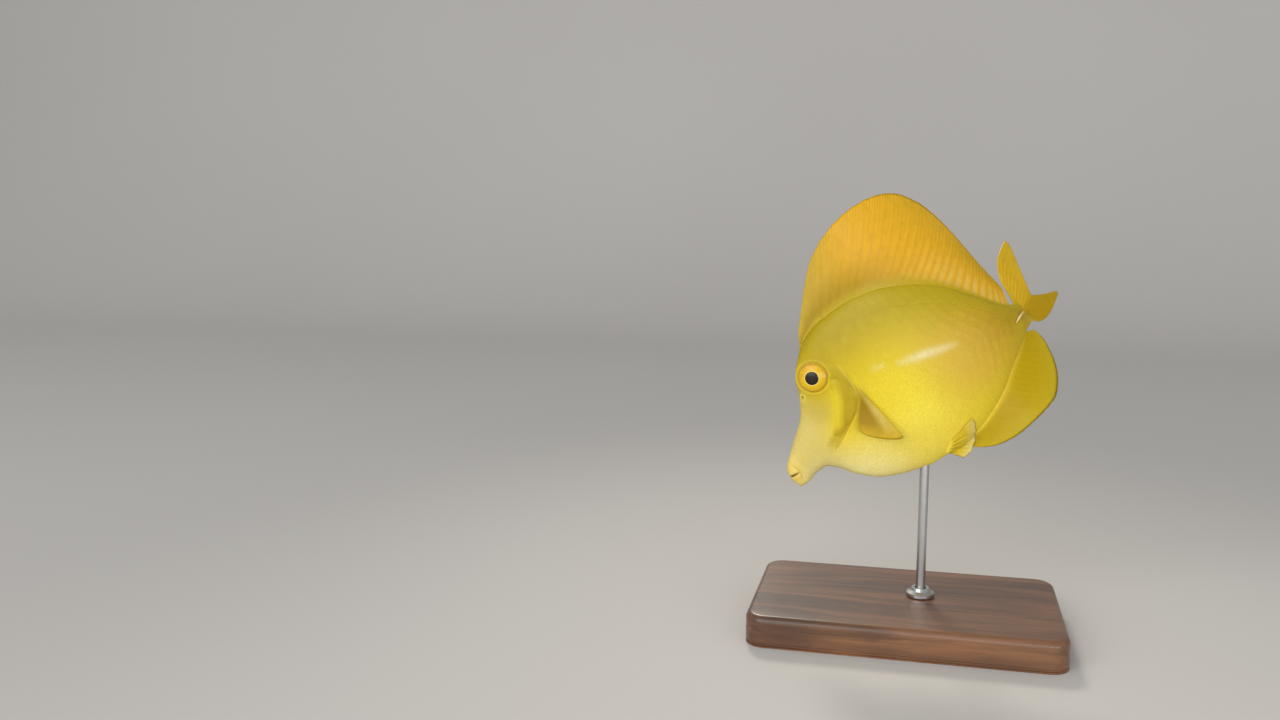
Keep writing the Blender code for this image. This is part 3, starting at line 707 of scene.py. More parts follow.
# ---- paired fins: thin closed shells rooted in the body -------------------------------------------------
def paired_fin(side, root, root_end, first, last, bulge, lift, stand, elements, rays, steps, pelvic):
    """Fan of rays; row 0 lies inside the body."""
    t = np.linspace(0, 1, rays)[:, None]
    r = np.linspace(0, 1, steps)[None, :]
    base = np.array(root) * (1 - t) + np.array(root_end) * t
    tip = np.array(first) * (1 - t) + np.array(last) * t
    out = (tip - base) / np.linalg.norm(tip - base, axis=1)[:, None]
    phase = t * (elements - 1)
    edge = 1 - ray_shape(phase, 0.0, 99)
    tip = tip + out * (bulge * np.sin(math.pi * t) - 1.1 * (1 - t) ** 10 - 0.6 * t ** 10 - 0.22 * edge)
    back_off = (0.10 if not pelvic else 0.06)
    reach = r * (1 + back_off) - back_off
    u = base[:, :1] + (tip[:, :1] - base[:, :1]) * reach
    z = base[:, 1:] + (tip[:, 1:] - base[:, 1:]) * reach
    away = ease(0.0, 0.16, reach)
    y = skin_flank(u, z) + stand * away - 0.5 * ease(0.02, -0.08, reach) + lift * np.clip(reach, 0, 1) ** 1.2
    y = np.where(reach > 0, np.maximum(y, 0.3 * flank(base[:, :1], base[:, 1:])), y)
    half = (0.05 + 0.10 * (1 - r) + ray_shape(phase, r, 1 if not pelvic else 1) * 0.15 * (1 - 0.5 * r)
            + 0.22 * ease(0.30, 0.0, r))
    lead = bell(t, 0.05)
    half = half + 0.06 * lead * (1 - r)
    half = np.broadcast_to(half, u.shape).copy()
    half[0], half[-1], half[:, -1] = 0, 0, 0
    m = np.stack([u, side * y, z], -1)
    n = np.zeros_like(m)
    n[..., 1] = side
    verts = np.concatenate([(m + n * half[..., None]).reshape(-1, 3), (m - n * half[..., None]).reshape(-1, 3)])
    ids = np.arange(rays * steps).reshape(rays, steps)
    other = ids + rays * steps
    other[0], other[-1], other[:, -1] = ids[0], ids[-1], ids[:, -1]
    fs = np.concatenate([quads(ids, side > 0), quads(other, side < 0)]).tolist()
    for i in range(rays - 1):                           # the hidden root end
        f = [ids[i, 0], ids[i + 1, 0], other[i + 1, 0], other[i, 0]]
        fs.append([int(x) for x in (f if side > 0 else f[::-1])])
    fs = [f for f in map(tidy, fs) if f]
    used = np.zeros(len(verts), bool)
    for f in fs:
        used[f] = True
    index = np.cumsum(used) - 1
    fs = [[int(index[v]) for v in f] for f in fs]
    data = np.stack(np.broadcast_arrays(phase, np.clip(reach, 0, 1), 0 * u), -1).reshape(-1, 3)
    data = np.concatenate([data, data])[used]
    verts = verts[used]
    flag = np.zeros((len(verts), 3))
    flag[:, 1 if pelvic else 0] = 1
    fin = np.clip(data[:, 1] * (8 if not pelvic else 6), 0, 1)
    return (verts, verts, data, np.zeros((len(verts), 3)), flag, fin), fs


for side in (1, -1):
    for args in (((28.4, 12.8), (26.8, 9.0), (31.2, -4.9), (22.4, 2.8), 0.7, 2.6, 0.45, 14, 53, 26, False),
                 ((36.8, -14.9), (39.2, -12.6), (40.0, -19.4), (47.0, -10.4), 1.5, 0.4, 0.35, 6, 31, 18, True)):
        piece, fs = paired_fin(side, *args)
        skin_parts.append(piece)
        skin_faces.append(fs)

offset, faces = 0, []
for part_, fs in zip(skin_parts, skin_faces):
    faces += [[v + offset for v in f] for f in fs]
    offset += len(part_[0])
co, flat, ray, which, paired, fin = (np.concatenate([p[i] for p in skin_parts]) for i in range(6))
m_a, m_b, m_c, m_d = masks(flat[:, 0], flat[:, 2])
m_d[:, 2] = fin
ridge = np.clip(1 - fin, 0, 1)[:, None]
skin = new_mesh("tang_skin", pose(co), faces, {
    "loc": co, "ray": ray, "which": which, "paired": paired, "m_a": m_a, "m_b": m_b, "m_c": m_c * ridge, "m_d": m_d})


# ---- scales --------------------------------------------------------------------------------------------
def scale_coat(side):
    rng = np.random.default_rng(7 if side > 0 else 8)
    pitch = 0.455

    def size(u):
        return 0.50 + 0.12 * ease(3, 8, u) + 0.38 * ease(5, 30, u) - 0.18 * ease(58, 75, u)

    grid = np.linspace(2.8, 75.2, 3000)
    steps = np.concatenate([[0], np.cumsum((grid[1] - grid[0]) / (pitch * size(grid[:-1])))])
    spots = []
    for k in range(int(steps[-1])):
        u = float(np.interp(k, steps, grid))
        s = float(size(u))
        z = np.linspace(skin_bottom(u), skin_top(u), 400)
        y = skin_flank(np.full_like(z, u), z)
        arc = np.concatenate([[0], np.cumsum(np.hypot(np.diff(z), np.diff(y)))])
        middle = np.interp(skin_bottom(u) + 0.45 * (skin_top(u) - skin_bottom(u)), z, arc)
        start = math.ceil((0.30 - middle) / (pitch * s))
        stop = math.floor((arc[-1] - 0.30 - middle) / (pitch * s))
        rows = np.arange(start, stop + 1) + 0.5 * (k % 2)
        g = middle + rows * pitch * s
        g = g[(g > 0.3) & (g < arc[-1] - 0.3)]
        spots.append(np.stack([np.full_like(g, u), np.interp(g, arc, z), np.full_like(g, s)], -1))
    spots = np.concatenate(spots)
    u, z, s = spots.T
    u = u + rng.normal(0, 0.025, len(u)) * s
    z = z + rng.normal(0, 0.02, len(z)) * s
    keep = (np.hypot(u - EYE_AT[0], z - EYE_AT[1]) > 4.55)
    d, a = line_distance(u, z, GILL_EDGE)
    keep &= ~((d < 0.42) & (a > 0.03))
    for cu, cz, r in NOSTRILS:
        keep &= np.hypot(u - cu, z - cz) > 2.4 * r
    d, _ = line_distance(u, z, THROAT)
    keep &= d > 0.28
    keep &= np.hypot((u - SPINE_AT[0]) / 3.0, z - SPINE_AT[1]) > 0.95
    keep &= u > 2.9 + 2.6 * rng.uniform(0, 1, len(u)) ** 2.2
    u, z, s = u[keep], z[keep], s[keep]
    p = on_skin(u, z, side)
    n = slope(u, z, side, skin_flank)
    e = 0.06
    tail = on_skin(u + e, z, side) - on_skin(u - e, z, side)
    along_z = on_skin(u, z + e, side) - on_skin(u, z - e, side)
    tail /= np.linalg.norm(tail, axis=1)[:, None]
    n = np.cross(along_z, tail) * side
    n /= np.linalg.norm(n, axis=1)[:, None]
    lean = rng.normal(0, 0.05, len(u))
    across = np.cross(n, tail)
    t = tail * np.cos(lean)[:, None] + across * np.sin(lean)[:, None]
    across = np.cross(n, t)
    outline = np.array([(-0.34, 0.0, -0.07), (-0.10, -0.235, -0.015), (0.17, -0.21, 0.035), (0.33, 0.0, 0.062),
                        (0.17, 0.21, 0.035), (-0.10, 0.235, -0.015), (0.02, 0.0, 0.050), (0.0, 0.0, -0.12)])
    size_ = (s * rng.uniform(0.94, 1.06, len(u)))[:, None, None]
    lift = np.minimum(rng.normal(1.0, 0.12, len(u)), 1.2) * s * (0.35 + 0.65 * ease(3.5, 9.0, u))
    lift = lift[:, None, None]
    v = (p[:, None] + (t[:, None] * outline[None, :, :1] + across[:, None] * outline[None, :, 1:2]) * size_
         + n[:, None] * outline[None, :, 2:] * lift)
    count = len(u)
    top = [(6, i, (i + 1) % 6) for i in range(6)]
    under = [(7, (i + 1) % 6, i) for i in range(6)]
    f = (np.array(top + under)[None] + 8 * np.arange(count)[:, None, None]).reshape(-1, 3)
    if side > 0:
        f = f[:, ::-1]
    m = [np.repeat(a, 8, axis=0) for a in masks(u, z)]
    tip = np.tile(np.array([0.0, 0.35, 0.8, 1.0, 0.8, 0.35, 0.55, 0.0]), count)
    tint = np.repeat(rng.uniform(0, 1, count), 8)
    zero = np.zeros((8 * count, 3))
    obj = new_mesh("scales_left" if side > 0 else "scales_right", pose(v.reshape(-1, 3)), f.tolist(), {
        "loc": v.reshape(-1, 3), "ray": zero, "which": zero, "paired": zero,
        "m_a": m[0], "m_b": m[1], "m_c": m[2], "m_d": m[3], "tip": tip, "tint": tint}, flip=True)
    # each scale's patch lies at its root's place on the unrolled flank
    girth = np.sign(z - 4.0) * np.hypot(z - 4.0, (skin_flank(u, z) - skin_half(u)) * 0.6)
    root = np.stack([0.04 + 0.92 * (u - 3.0) / 73.0, 0.5 + girth / 80.0], -1)
    shape = outline[:, :2] / 0.68 * 0.0014
    loops = np.array([obj.data.loops[i].vertex_index for i in range(len(obj.data.loops))])
    half_ = np.repeat((np.arange(len(obj.data.polygons)) % 12 >= 6), 3)
    uv = root[loops // 8] + shape[loops % 8] + np.stack([0 * loops, np.where(half_, -0.0008, 0.0008)], -1)
    layer = obj.data.uv_layers.new(name="OFBake")
    layer.data.foreach_set("uv", uv.astype(np.float32).ravel())
    obj.data.set_sharp_from_angle(angle=math.radians(70))
    return obj


scales = [scale_coat(1), scale_coat(-1)]


# ---- eyes ---------------------------------------------------------------------------------------------
def eye(side):
    centre, a, b, n = eye_frame(side)
    radii = np.concatenate([np.linspace(0, 1.62, 9), [1.70, 1.76, 1.80, 1.86, 1.94], np.linspace(2.05, 3.5, 16),
                            [3.58, 3.64, 3.70, 3.78, 3.88, 3.98, 4.04]])
    turns = 120
    angle = 2 * np.pi * np.arange(turns) / turns
    rows, info = [], []
    for r in radii[1:]:
        h = dome(r) - 0.02 - 0.10 * bell(r - 1.73, 0.05) - 0.05 * bell(r - 3.62, 0.07)
        h = h + (0.0 if r < 1.8 else 0.016 * np.sin(angle * 31 + 3 * np.sin(angle * 3)) * ease(1.9, 2.2, r) * ease(3.55, 3.2, r))
        h = h - 0.05 * ease(1.85, 2.3, r) * ease(3.6, 2.9, r)
        rows.append((np.full(turns, r), h + 0 * angle))
    for r, h in ((4.06, 0.0), (4.0, -0.35), (3.6, -0.8), (2.4, -1.1)):
        rows.append((np.full(turns, r), np.full(turns, h)))
    verts = [centre + n * (dome(0.0) - 0.02)]
    info.append((0, 0, 0))
    for r, h in rows:
        x, y = r * np.cos(angle), r * np.sin(angle)
        verts += list(centre + x[:, None] * a + y[:, None] * b + h[:, None] * n)
        info += list(zip(x, y, r))
    verts.append(centre - n * 1.2)
    info.append((0, 0, 5))
    faces = [[0, 1 + i, 1 + (i + 1) % turns] for i in range(turns)]
    for k in range(len(rows) - 1):
        s = 1 + k * turns
        faces += [[s + i, s + turns + i, s + turns + (i + 1) % turns, s + (i + 1) % turns] for i in range(turns)]
    s = 1 + (len(rows) - 1) * turns
    faces += [[s + (i + 1) % turns, s + i, len(verts) - 1] for i in range(turns)]
    # a, b, n are right-handed on the left side and on the right side alike
    return new_mesh("eye_ball_left" if side > 0 else "eye_ball_right", pose(np.array(verts)), faces,
                    {"eye": np.array(info)}, flip=True)


eyes = [eye(1), eye(-1)]


# ---- tail spines -------------------------------------------------------------------------------------------
def tail_spine(side):
    """Lancet lying in its groove, point forward."""
    m, k = 20, 26
    verts, info = [], []
    s = np.linspace(0, 1, k)                            # 0 at the point, 1 at the root
    surface = float(flank(*SPINE_AT))
    for q in s:
        w = 0.10 + 0.86 * np.sin(np.pi * min(1, q * 0.62 + 0.02)) ** 0.8 * (1 if q < 0.9 else 1 - 2.5 * (q - 0.9))
        a = 2 * np.pi * np.arange(m) / m
        keel = 1 + 0.25 * np.cos(2 * a)
        u = SPINE_AT[0] - SPINE_LENGTH / 2 + SPINE_LENGTH * q
        drop = 0.12 * (q - 0.5) ** 2 - 0.25 * ease(0.85, 1.0, q)
        y = surface - 0.16 - drop + 0.5 * SPINE_DEPTH * w * np.cos(a) * keel
        z = SPINE_AT[1] + 0.12 * np.sin(np.pi * q) + 0.42 * SPINE_HEIGHT * w * np.sin(a)
        verts += list(np.stack([np.full(m, u), side * y, z], -1))
        info += [q] * m
    faces = []
    for i in range(k - 1):
        for j in range(m):
            faces.append([i * m + j, i * m + (j + 1) % m, (i + 1) * m + (j + 1) % m, (i + 1) * m + j])
    faces += [list(range(m))[::-1], [(k - 1) * m + j for j in range(m)]]
    if side < 0:
        faces = [f[::-1] for f in faces]
    return new_mesh("tail_lancet_left" if side > 0 else "tail_lancet_right", pose(np.array(verts)), faces,
                    {"along": np.array(info)}, flip=True)


spines = [tail_spine(1), tail_spine(-1)]


def face_outward(obj):
    """Turns a closed mesh right side out, if it isn't."""
    mesh = obj.data
    mesh.calc_loop_triangles()
    co = coords(mesh)
    tris = np.zeros(len(mesh.loop_triangles) * 3, np.int32)
    mesh.loop_triangles.foreach_get("vertices", tris)
    a, b, c = (co[tris.reshape(-1, 3)[:, i]] for i in range(3))
    volume = np.einsum("ij,ij->i", a, np.cross(b, c)).sum() / 6
    print("volume", obj.name, round(volume * 1e9, 2), "mm3,", len(tris) // 3, "triangles")
    if volume < 0:
        mesh.flip_normals()


for piece in [skin] + scales + eyes + spines:
    face_outward(piece)


# ---- materials: skin and coat --------------------------------------------------------------------------------
LEMON, BRIGHT, OLIVE = srgb(232, 202, 36), srgb(246, 224, 66), srgb(174, 148, 6)
REAR_SHADE, CREAM, SNOUT = srgb(156, 122, 2), srgb(246, 232, 156), srgb(222, 202, 124)
TAN = srgb(176, 148, 84)
CHEEK, STRIP_C, STREAK_C = srgb(178, 150, 16), srgb(232, 208, 44), srgb(236, 226, 176)
LIPS, DARK, MOUTH_SHADE = srgb(216, 190, 96), srgb(112, 90, 24), srgb(104, 62, 44)
D_FRONT, D_MID, D_REAR = srgb(212, 188, 78), srgb(244, 196, 48), srgb(240, 196, 46)
ANAL_C, ANAL_EDGE, CAUDAL_C = srgb(204, 180, 0), srgb(212, 190, 36), srgb(236, 200, 40)
CAUDAL_LOW_SHADED, PAINTED_BACKLIGHT = srgb(206, 172, 2), srgb(254, 230, 138)
WARM, PECTORAL_SHADED, PALE = srgb(214, 160, 40), srgb(192, 156, 20), srgb(240, 226, 140)


def markings(n):
    """Colour with its painted shade and light, fin share and ray share; the same nodes serve the skin and its scales.
    """
    loc = n.attr("loc").outputs["Vector"]
    u, y, z = n.split(loc)
    back, rear, cream = n.split(n.attr("m_a").outputs["Vector"])
    snout, cheek, strip = n.split(n.attr("m_b").outputs["Vector"])
    streak, lips, painted_groove_shade = n.split(n.attr("m_c").outputs["Vector"])
    painted_light_spot, orbit, fin = n.split(n.attr("m_d").outputs["Vector"])
    dorsal, anal, caudal = n.split(n.attr("which").outputs["Vector"])
    pectoral, pelvic, mouth = n.split(n.attr("paired").outputs["Vector"])
    phase, reach, _ = n.split(n.attr("ray").outputs["Vector"])
    broad = n.noise(loc, 0.13, 3.0, 0.55)
    soft = n.noise(loc, 0.45, 4.0, 0.6)
    fine = n.noise(loc, 3.2, 3.0, 0.6)
    wander = n.math("MULTIPLY_ADD", soft, 0.5, 0.75)
    # painted light: the lower mid flank brightened from lemon towards bright yellow
    c = n.mix(n.mul(painted_light_spot, n.math("MULTIPLY_ADD", broad, 0.9, 0.35)), LEMON, BRIGHT)
    # painted shade: the tail stalk darkened where the bent tail turns away from the light
    c = n.mix(n.mul(rear, n.math("MULTIPLY_ADD", soft, 0.4, 0.72)), c, REAR_SHADE)
    warm = n.mul(n.mul(n.span(u, 38.0, 52.0), n.span(u, 72.0, 58.0)), n.mul(n.span(z, -12.0, 0.0), n.span(z, 20.0, 8.0)))
    c = n.mix(n.mul(warm, n.math("MULTIPLY_ADD", broad, 0.5, 0.25)), c, WARM)
    # painted shade: the upper flank darkened towards olive
    c = n.mix(n.mul(back, wander), c, OLIVE)
    # paler belly: partly its own cream, partly painted light from below
    c = n.mix(n.mul(cream, wander), c, CREAM)
    c = n.mix(n.mul(snout, n.math("MULTIPLY_ADD", soft, 0.6, 0.5)), c, SNOUT)
    # dull patch between the eye and the cheek's bright strip
    across, along = n.math("MULTIPLY_ADD", u, 1 / 3.3, -17.0 / 3.3), n.math("MULTIPLY_ADD", z, 1 / 3.6, -12.6 / 3.6)
    away = n.math("SQRT", n.add(n.mul(across, across), n.mul(along, along)))
    c = n.mix(n.mul(n.span(away, 1.9, 0.0), 0.42), c, TAN)
    c = n.mix(n.mul(cheek, n.math("MULTIPLY_ADD", soft, 0.5, 0.66)), c, CHEEK)
    c = n.mix(n.mul(orbit, 0.35), c, OLIVE)
    # bright strip along the cheek's raised edge: partly its own lemon, partly painted highlight
    c = n.mix(n.mul(strip, 0.85), c, STRIP_C)
    c = n.mix(n.mul(streak, n.math("MULTIPLY_ADD", soft, 0.6, 0.32)), c, STREAK_C)
    c = n.mix(n.mul(lips, 0.8), c, LIPS)
    # pigment cells: small dull and bright specks
    c = n.mix(n.span(fine, 0.55, 0.75, 0.0, 0.22), c, OLIVE)
    c = n.mix(n.span(fine, 0.42, 0.28, 0.0, 0.18), c, BRIGHT)
    # painted shade in the grooves and openings: gill slit, throat, nostrils, mouth slit and behind the lips
    body = n.mix(painted_groove_shade, c, DARK)

    # fins
    one = n.stripes(phase, 5.0)
    two = n.stripes(n.mul(phase, 2.0), 3.2)
    four = n.stripes(n.mul(phase, 4.0), 2.0)
    forked = n.mix(n.span(reach, 0.45, 0.7), one, two)
    forked = n.mix(n.span(reach, 0.74, 0.92, 0.0, 0.7), forked, four)
    rays = n.node("ShaderNodeRGBToBW", {0: forked}).outputs[0]
    joints = n.stripes(n.mul(reach, n.math("MULTIPLY_ADD", reach, 16.0, 34.0)), 6.0)
    # dorsal colours: the deeper orange-gold of the middle and rear is partly painted backlight glow over the fin's own
    # yellow
    d = n.mix(n.span(u, 28.0, 50.0), D_FRONT, D_MID)
    d = n.mix(n.span(u, 58.0, 76.0), d, D_REAR)
    d = n.mix(n.mul(n.span(reach, 0.5, 0.95, 0.0, 0.45), n.span(phase, 15.0, 23.0)), d, CHEEK)
    # olive near the dorsal fin's base: painted shade continuing that of the back
    d = n.mix(n.mul(n.span(reach, 0.6, 0.0, 0.0, 0.7), n.span(u, 66.0, 40.0)), d, OLIVE)
    a = n.mix(n.span(reach, 0.35, 0.95), ANAL_C, ANAL_EDGE)
    # lower part of the tail fin deeper olive-gold: painted shade, as the bent tail turns it away from the light
    tail = n.mix(n.span(phase, 10.5, 7.0), CAUDAL_C, CAUDAL_LOW_SHADED)
    # the pectoral fin's margin is clear and pale; its leading band is pale, clear membrane with a painted highlight;
    # its inner part and root are deep gold, partly painted shade
    p = n.mix(n.span(phase, 7.0, 2.5), PECTORAL_SHADED, n.mix(0.6, LEMON, PALE))
    p = n.mix(n.span(reach, 0.55, 1.0, 0.0, 0.85), p, LEMON)
    p = n.mix(n.mul(n.span(reach, 0.5, 0.0), 0.5), p, PECTORAL_SHADED)
    v = n.mix(n.span(reach, 0.55, 0.98, 0.0, 0.8), n.mix(0.5, LEMON, BRIGHT), PALE)
    f = n.mix(anal, d, a)
    f = n.mix(caudal, f, tail)
    f = n.mix(pectoral, f, p)
    f = n.mix(pelvic, f, v)
    # rays are a little deeper in colour than the membrane, most on the dorsal fin
    shade = n.mix(rays, f, (0.66, 0.58, 0.30, 1), "MULTIPLY")
    depth = n.math("MULTIPLY_ADD", n.math("MAXIMUM", dorsal, pectoral), 0.62, n.math("MULTIPLY_ADD", caudal, 0.18, 0.08))
    f = n.mix(depth, f, shade)
    f = n.mix(n.mul(n.mul(joints, rays), 0.07), f, DARK)
    # painted backlight: bright gaps between the ray feet at the rear of the dorsal fin, where light from behind shows
    # through the thin membrane
    backlit_gap = n.stripes(n.add(phase, 0.5), 1.3)
    backlit_gap = n.mul(n.mul(backlit_gap, n.mul(n.span(reach, 0.60, 0.22), n.span(reach, 0.02, 0.08))), n.mul(dorsal, n.span(phase, 10.0, 21.0)))
    f = n.mix(n.mul(backlit_gap, 0.95), f, PAINTED_BACKLIGHT)
    f = n.mix(n.mul(n.span(soft, 0.4, 0.75), 0.22), f, OLIVE)
    c = n.mix(fin, body, f)
    # painted shade inside the mouth, deeper further in
    c = n.mix(mouth, c, MOUTH_SHADE)
    calm = n.math("MULTIPLY_ADD", anal, -0.8, 1.0)
    return c, fin, rays, backlit_gap, calm, soft, fine, loc


def coat_material(name, scaled):
    n = Nodes(name)
    colour, fin, rays, backlit_gap, calm, soft, fine, loc = markings(n)
    if scaled:
        tint = n.attr("tint").outputs["Fac"]
        tip = n.attr("tip").outputs["Fac"]
        colour = n.mix(n.math("MULTIPLY_ADD", tint, 0.22, 0.0), colour, OLIVE)
        # painted shade at each scale's root, where it tucks under the scale in front, and a painted highlight along its
        # free edge
        colour = n.mix(n.span(tip, 0.25, 0.0, 0.0, 0.35), colour, (0.55, 0.42, 0.16, 1), "MULTIPLY")
        colour = n.mix(n.span(tip, 0.7, 1.0, 0.0, 0.25), colour, BRIGHT)
    grain = n.noise(loc, 7.0, 3.0, 0.6)
    rough = n.math("MULTIPLY_ADD", soft, 0.16, 0.36)
    rough = n.math("MULTIPLY_ADD", n.math("SUBTRACT", fine, 0.5), 0.12, rough)
    normal = n.bump(n.add(grain, n.mul(n.mul(rays, n.mul(fin, calm)), 0.8)), 0.25, 0.00006)
    bsdf = n.node("ShaderNodeBsdfPrincipled", {
        "Base Color": colour, "Roughness": rough, "Normal": normal, "IOR": 1.4,
        "Subsurface Weight": 0.22, "Subsurface Radius": (1.0, 0.62, 0.2), "Subsurface Scale": 0.0011,
        "Coat Weight": 0.12, "Coat Roughness": 0.25, "Specular IOR Level": 0.3})
    if scaled:
        return n.shader(bsdf.outputs[0])
    through = n.node("ShaderNodeBsdfTranslucent", {"Color": n.mix(0.35, colour, BRIGHT), "Normal": normal})
    share_ = n.mul(fin, n.math("MULTIPLY_ADD", backlit_gap, 0.25, n.math("MULTIPLY_ADD", n.mul(rays, calm), -0.30, 0.50)))
    mixed = n.node("ShaderNodeMixShader", {0: share_, 1: bsdf.outputs[0], 2: through.outputs[0]})
    return n.shader(mixed.outputs[0])


skin.data.materials.append(coat_material("tang_skin", False))
coat = coat_material("tang_scales", True)
for s in scales:
    s.data.materials.append(coat)


# ---- materials: eye, tail spine ------------------------------------------------------------------------------------
def eye_material():
    n = Nodes("tang_eye")
    v = n.attr("eye").outputs["Vector"]
    x, y, r = n.split(v)
    fibre = n.noise(n.join(n.math("ARCTAN2", y, x), n.mul(r, 0.16), 0.0), 11.0, 4.0, 0.65)
    cloud = n.noise(v, 0.9, 3.0, 0.6)
    iris = n.mix(n.span(r, 1.9, 3.0), srgb(218, 182, 26), srgb(210, 168, 6))
    iris = n.mix(n.span(y, 0.2, 3.4, 0.0, 0.8), iris, srgb(206, 152, 22))
    iris = n.mix(n.span(cloud, 0.45, 0.7, 0.0, 0.4), iris, srgb(224, 190, 28))
    iris = n.mix(n.span(fibre, 0.45, 0.70, 0.0, 0.34), iris, srgb(170, 128, 24))
    ring = n.mix(n.math("MULTIPLY", n.span(r, 2.02, 1.88), n.span(r, 1.74, 1.82)), iris, srgb(226, 200, 100))
    edge = n.mix(n.span(r, 3.2, 3.62, 0.0, 0.7), ring, srgb(164, 134, 38))
    edge = n.mix(n.span(r, 3.64, 3.80), edge, srgb(188, 160, 54))
    pupil = n.mix(n.span(r, 0.0, 1.5), srgb(36, 27, 10), srgb(22, 16, 6))
    colour = n.mix(n.span(r, 1.68, 1.80), pupil, edge)
    bsdf = n.node("ShaderNodeBsdfPrincipled", {
        "Base Color": colour, "Roughness": n.math("MULTIPLY_ADD", fibre, 0.15, 0.30),
        "Normal": n.bump(fibre, 0.15, 0.00006), "Specular IOR Level": 0.35,
        "Coat Weight": 0.55, "Coat Roughness": 0.06, "Coat IOR": 1.34, "IOR": 1.38})
    return n.shader(bsdf.outputs[0])


material = eye_material()
for e in eyes:
    e.data.materials.append(material)

n = Nodes("tang_tail_spine")
along = n.attr("along").outputs["Fac"]
place = n.node("ShaderNodeNewGeometry").outputs["Position"]
cloud = n.noise(place, 1400.0, 3.0, 0.6)
colour = n.mix(n.span(along, 0.15, 0.9), srgb(226, 212, 150), srgb(186, 156, 50))
colour = n.mix(n.span(cloud, 0.4, 0.7, 0.0, 0.3), colour, srgb(206, 188, 118))
bsdf = n.node("ShaderNodeBsdfPrincipled", {"Base Color": colour, "Roughness": n.math("MULTIPLY_ADD", cloud, 0.2, 0.2),
                                           "Subsurface Weight": 0.2, "Subsurface Scale": 0.0006,
                                           "Normal": n.bump(cloud, 0.15, 0.00005)})
material = n.shader(bsdf.outputs[0])
for s in spines:
    s.data.materials.append(material)


# ---- stand -----------------------------------------------------------------------------------------------------------
def rounded_base():
    """Slab with round corners, a soft top edge and a fine reveal near the floor."""
    hx, hy, hz = (s / 2 for s in BASE_SIZE)
    corner, around = 5.0, 14
    low_, high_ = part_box("stand_base")
    top = high_[2] * 1000
    profile = [(0.0, 0.0), (0.0, 0.35), (0.35, 0.55), (0.35, 1.0), (0.0, 1.25)]
    profile += [(0.0, z) for z in np.linspace(1.6, top - 1.6, 6)]
    profile += [(1.6 - 1.6 * math.cos(a), top - 1.6 + 1.6 * math.sin(a)) for a in np.linspace(0, math.pi / 2, 9)[1:]]
    rows = []
    for inset, z in profile:
        row = []
        for cx, cy, start in ((1, 1, 0), (-1, 1, 90), (-1, -1, 180), (1, -1, 270)):
            for a in np.radians(start + np.linspace(0, 90, around)):
                radius = corner - inset
                row.append((cx * (hx - corner) + radius * math.cos(a), cy * (hy - corner) + radius * math.sin(a), z))
        rows.append(row)
    m = len(rows[0])
    verts = [p for row in rows for p in row]
    faces = [[i * m + j, i * m + (j + 1) % m, (i + 1) * m + (j + 1) % m, (i + 1) * m + j]
             for i in range(len(rows) - 1) for j in range(m)]
    for k in range(1, 6):                               # the flat top, ring by ring
        row = np.array(rows[-1]) * ((1 - k / 6.0), (1 - k / 6.0), 1)
        verts += [tuple(p) for p in row]
        s = (len(rows) - 1 + k) * m
        faces += [[s - m + j, s - m + (j + 1) % m, s + (j + 1) % m, s + j] for j in range(m)]
    faces.append([(len(rows) + 4) * m + j for j in range(m)])
    faces.append(list(range(m))[::-1])
    obj = new_mesh("stand_plinth", np.array(verts) * MM, faces, flip=False)
    obj.data.set_sharp_from_angle(angle=math.radians(50))
    return obj


plinth = rounded_base()
face_outward(plinth)

n = Nodes("walnut")
place = n.node("ShaderNodeNewGeometry").outputs["Position"]
px, py, pz = n.split(place)
warp = n.noise(place, 22.0, 3.0, 0.5)
bent = n.join(n.mul(px, 0.07), n.add(py, n.math("MULTIPLY_ADD", warp, 0.010, -0.005)), n.mul(pz, 1.3))
rings_ = n.noise(bent, 210.0, 4.0, 0.55, 0.6)
grain = n.noise(n.join(n.mul(px, 0.035), py, pz), 1500.0, 4.0, 0.65)
pores = n.noise(n.join(n.mul(px, 0.10), py, pz), 3200.0, 2.0, 0.5)
colour = n.mix(n.span(rings_, 0.34, 0.68), srgb(74, 46, 28), srgb(124, 82, 52))
colour = n.mix(n.span(grain, 0.40, 0.72, 0.0, 0.45), colour, srgb(50, 30, 18))
colour = n.mix(n.span(pores, 0.62, 0.74, 0.0, 0.7), colour, srgb(30, 18, 11))
colour = n.mix(n.span(warp, 0.35, 0.7, 0.0, 0.25), colour, srgb(150, 104, 66))
height = n.math("SUBTRACT", n.mul(grain, 0.5), n.span(pores, 0.6, 0.75))
bsdf = n.node("ShaderNodeBsdfPrincipled", {
    "Base Color": colour, "Roughness": n.math("MULTIPLY_ADD", grain, 0.18, 0.30),
    "Normal": n.bump(height, 0.25, 0.00012), "Coat Weight": 0.25, "Coat Roughness": 0.22})
plinth.data.materials.append(n.shader(bsdf.outputs[0]))

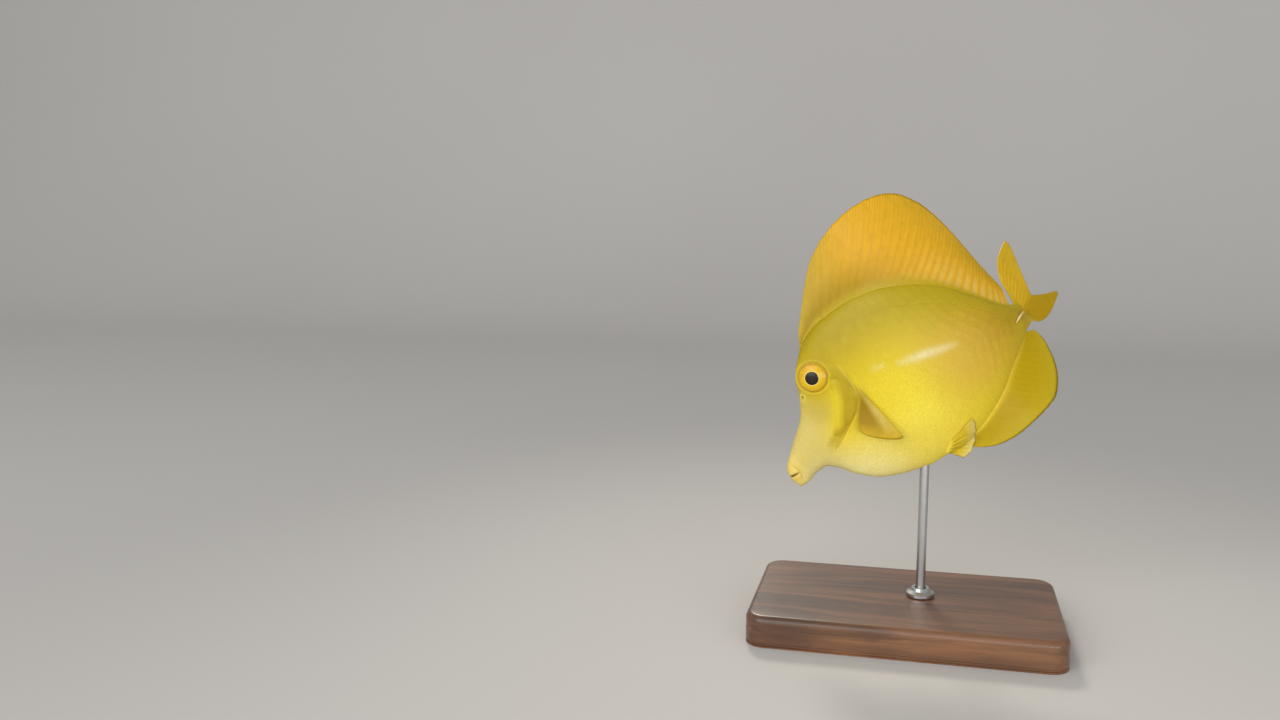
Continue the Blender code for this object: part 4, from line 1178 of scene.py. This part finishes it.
n = Nodes("brushed_steel")
place = n.node("ShaderNodeNewGeometry").outputs["Position"]
px, py, pz = n.split(place)
brush = n.noise(n.join(n.mul(px, 0.25), n.mul(py, 0.25), pz), 9000.0, 3.0, 0.6)
stain = n.noise(place, 160.0, 3.0, 0.6)
colour = n.mix(brush, srgb(168, 168, 168), srgb(206, 206, 204))
colour = n.mix(n.span(stain, 0.5, 0.75, 0.0, 0.25), colour, srgb(150, 148, 144))
bsdf = n.node("ShaderNodeBsdfPrincipled", {
    "Base Color": colour, "Metallic": 1.0, "Roughness": n.math("MULTIPLY_ADD", brush, 0.16, 0.22),
    "Normal": n.bump(brush, 0.12, 0.00003)})
steel = n.shader(bsdf.outputs[0])
for name in ("stand_rod", "stand_collar"):
    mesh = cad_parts[name].data
    mesh.materials.clear()
    mesh.materials.append(steel)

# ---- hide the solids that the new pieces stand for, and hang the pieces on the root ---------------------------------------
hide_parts("head", "jaw_upper", "jaw_lower", "trunk", "tail", "gill_cover_left", "gill_cover_right", "fin_dorsal",
            "fin_anal", "fin_caudal", "fin_pectoral_left", "fin_pectoral_right", "fin_pelvic_left", "fin_pelvic_right")
for piece, node in zip(eyes, ("eye_left", "eye_right")):
    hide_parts(node)
for piece, node in zip(spines, ("tail_spine_left", "tail_spine_right")):
    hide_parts(node)
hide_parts("stand_base")
for piece in [skin, plinth] + scales + eyes + spines:
    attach(piece, "root")

# ---- floor, backdrop and light ------------------------------------------------------------------------------------------------
rows = [(-1.2, 0.0), (0.0, 0.0), (0.55, 0.0)]
rows += [(0.55 + 0.45 * math.sin(a), 0.45 - 0.45 * math.cos(a)) for a in np.linspace(0, math.pi / 2, 16)[1:]]
rows += [(1.0, 1.2), (1.0, 2.2)]
verts = [(x, y, z) for y, z in rows for x in (-2.5, 2.5)]
faces = [[2 * i, 2 * i + 1, 2 * i + 3, 2 * i + 2] for i in range(len(rows) - 1)]
floor = new_mesh("floor", np.array(verts), faces, flip=False)
n = Nodes("studio_paper")
place = n.node("ShaderNodeNewGeometry").outputs["Position"]
mottle = n.noise(place, 3.0, 2.0, 0.5)
tooth = n.noise(place, 900.0, 2.0, 0.5)
colour = n.mix(mottle, srgb(200, 196, 190), srgb(206, 203, 198))
bsdf = n.node("ShaderNodeBsdfPrincipled", {"Base Color": colour, "Roughness": 0.85, "Normal": n.bump(tooth, 0.05, 0.0002)})
floor.data.materials.append(n.shader(bsdf.outputs[0]))


def softbox(name, at, target, size, power, colour=(1, 1, 1)):
    light = bpy.data.lights.new(name, "AREA")
    light.shape, light.size, light.size_y = "RECTANGLE", size[0], size[1]
    light.energy, light.color = power, colour
    obj = bpy.data.objects.new(name, light)
    bpy.context.scene.collection.objects.link(obj)
    obj.location = at
    obj.rotation_euler = (Vector(target) - Vector(at)).to_track_quat("-Z", "Y").to_euler()


fish = (0.0, 0.0, 0.07)
softbox("key", (-0.45, -0.90, 0.42), fish, (0.9, 0.9), 8.0, (1.0, 0.985, 0.96))
softbox("fill", (0.45, -0.80, 0.10), fish, (0.8, 0.18), 3.2, (0.98, 0.985, 1.0))
rim = bpy.data.lights.new("rim", "SPOT")
rim.energy, rim.color, rim.shadow_soft_size = 9.0, (1.0, 0.95, 0.84), 0.09
rim.spot_size, rim.spot_blend = math.radians(34), 1.0
rim_at = bpy.data.objects.new("rim", rim)
bpy.context.scene.collection.objects.link(rim_at)
rim_at.location = (-0.20, 0.55, 0.52)
rim_at.rotation_euler = (Vector(fish) - Vector(rim_at.location)).to_track_quat("-Z", "Y").to_euler()

world = bpy.data.worlds.new("studio")
world.use_nodes = True
background = world.node_tree.nodes["Background"]
background.inputs[0].default_value = (0.93, 0.95, 1.0, 1)
background.inputs[1].default_value = 0.50
bpy.context.scene.world = world
bpy.context.scene.view_settings.view_transform = "Standard"
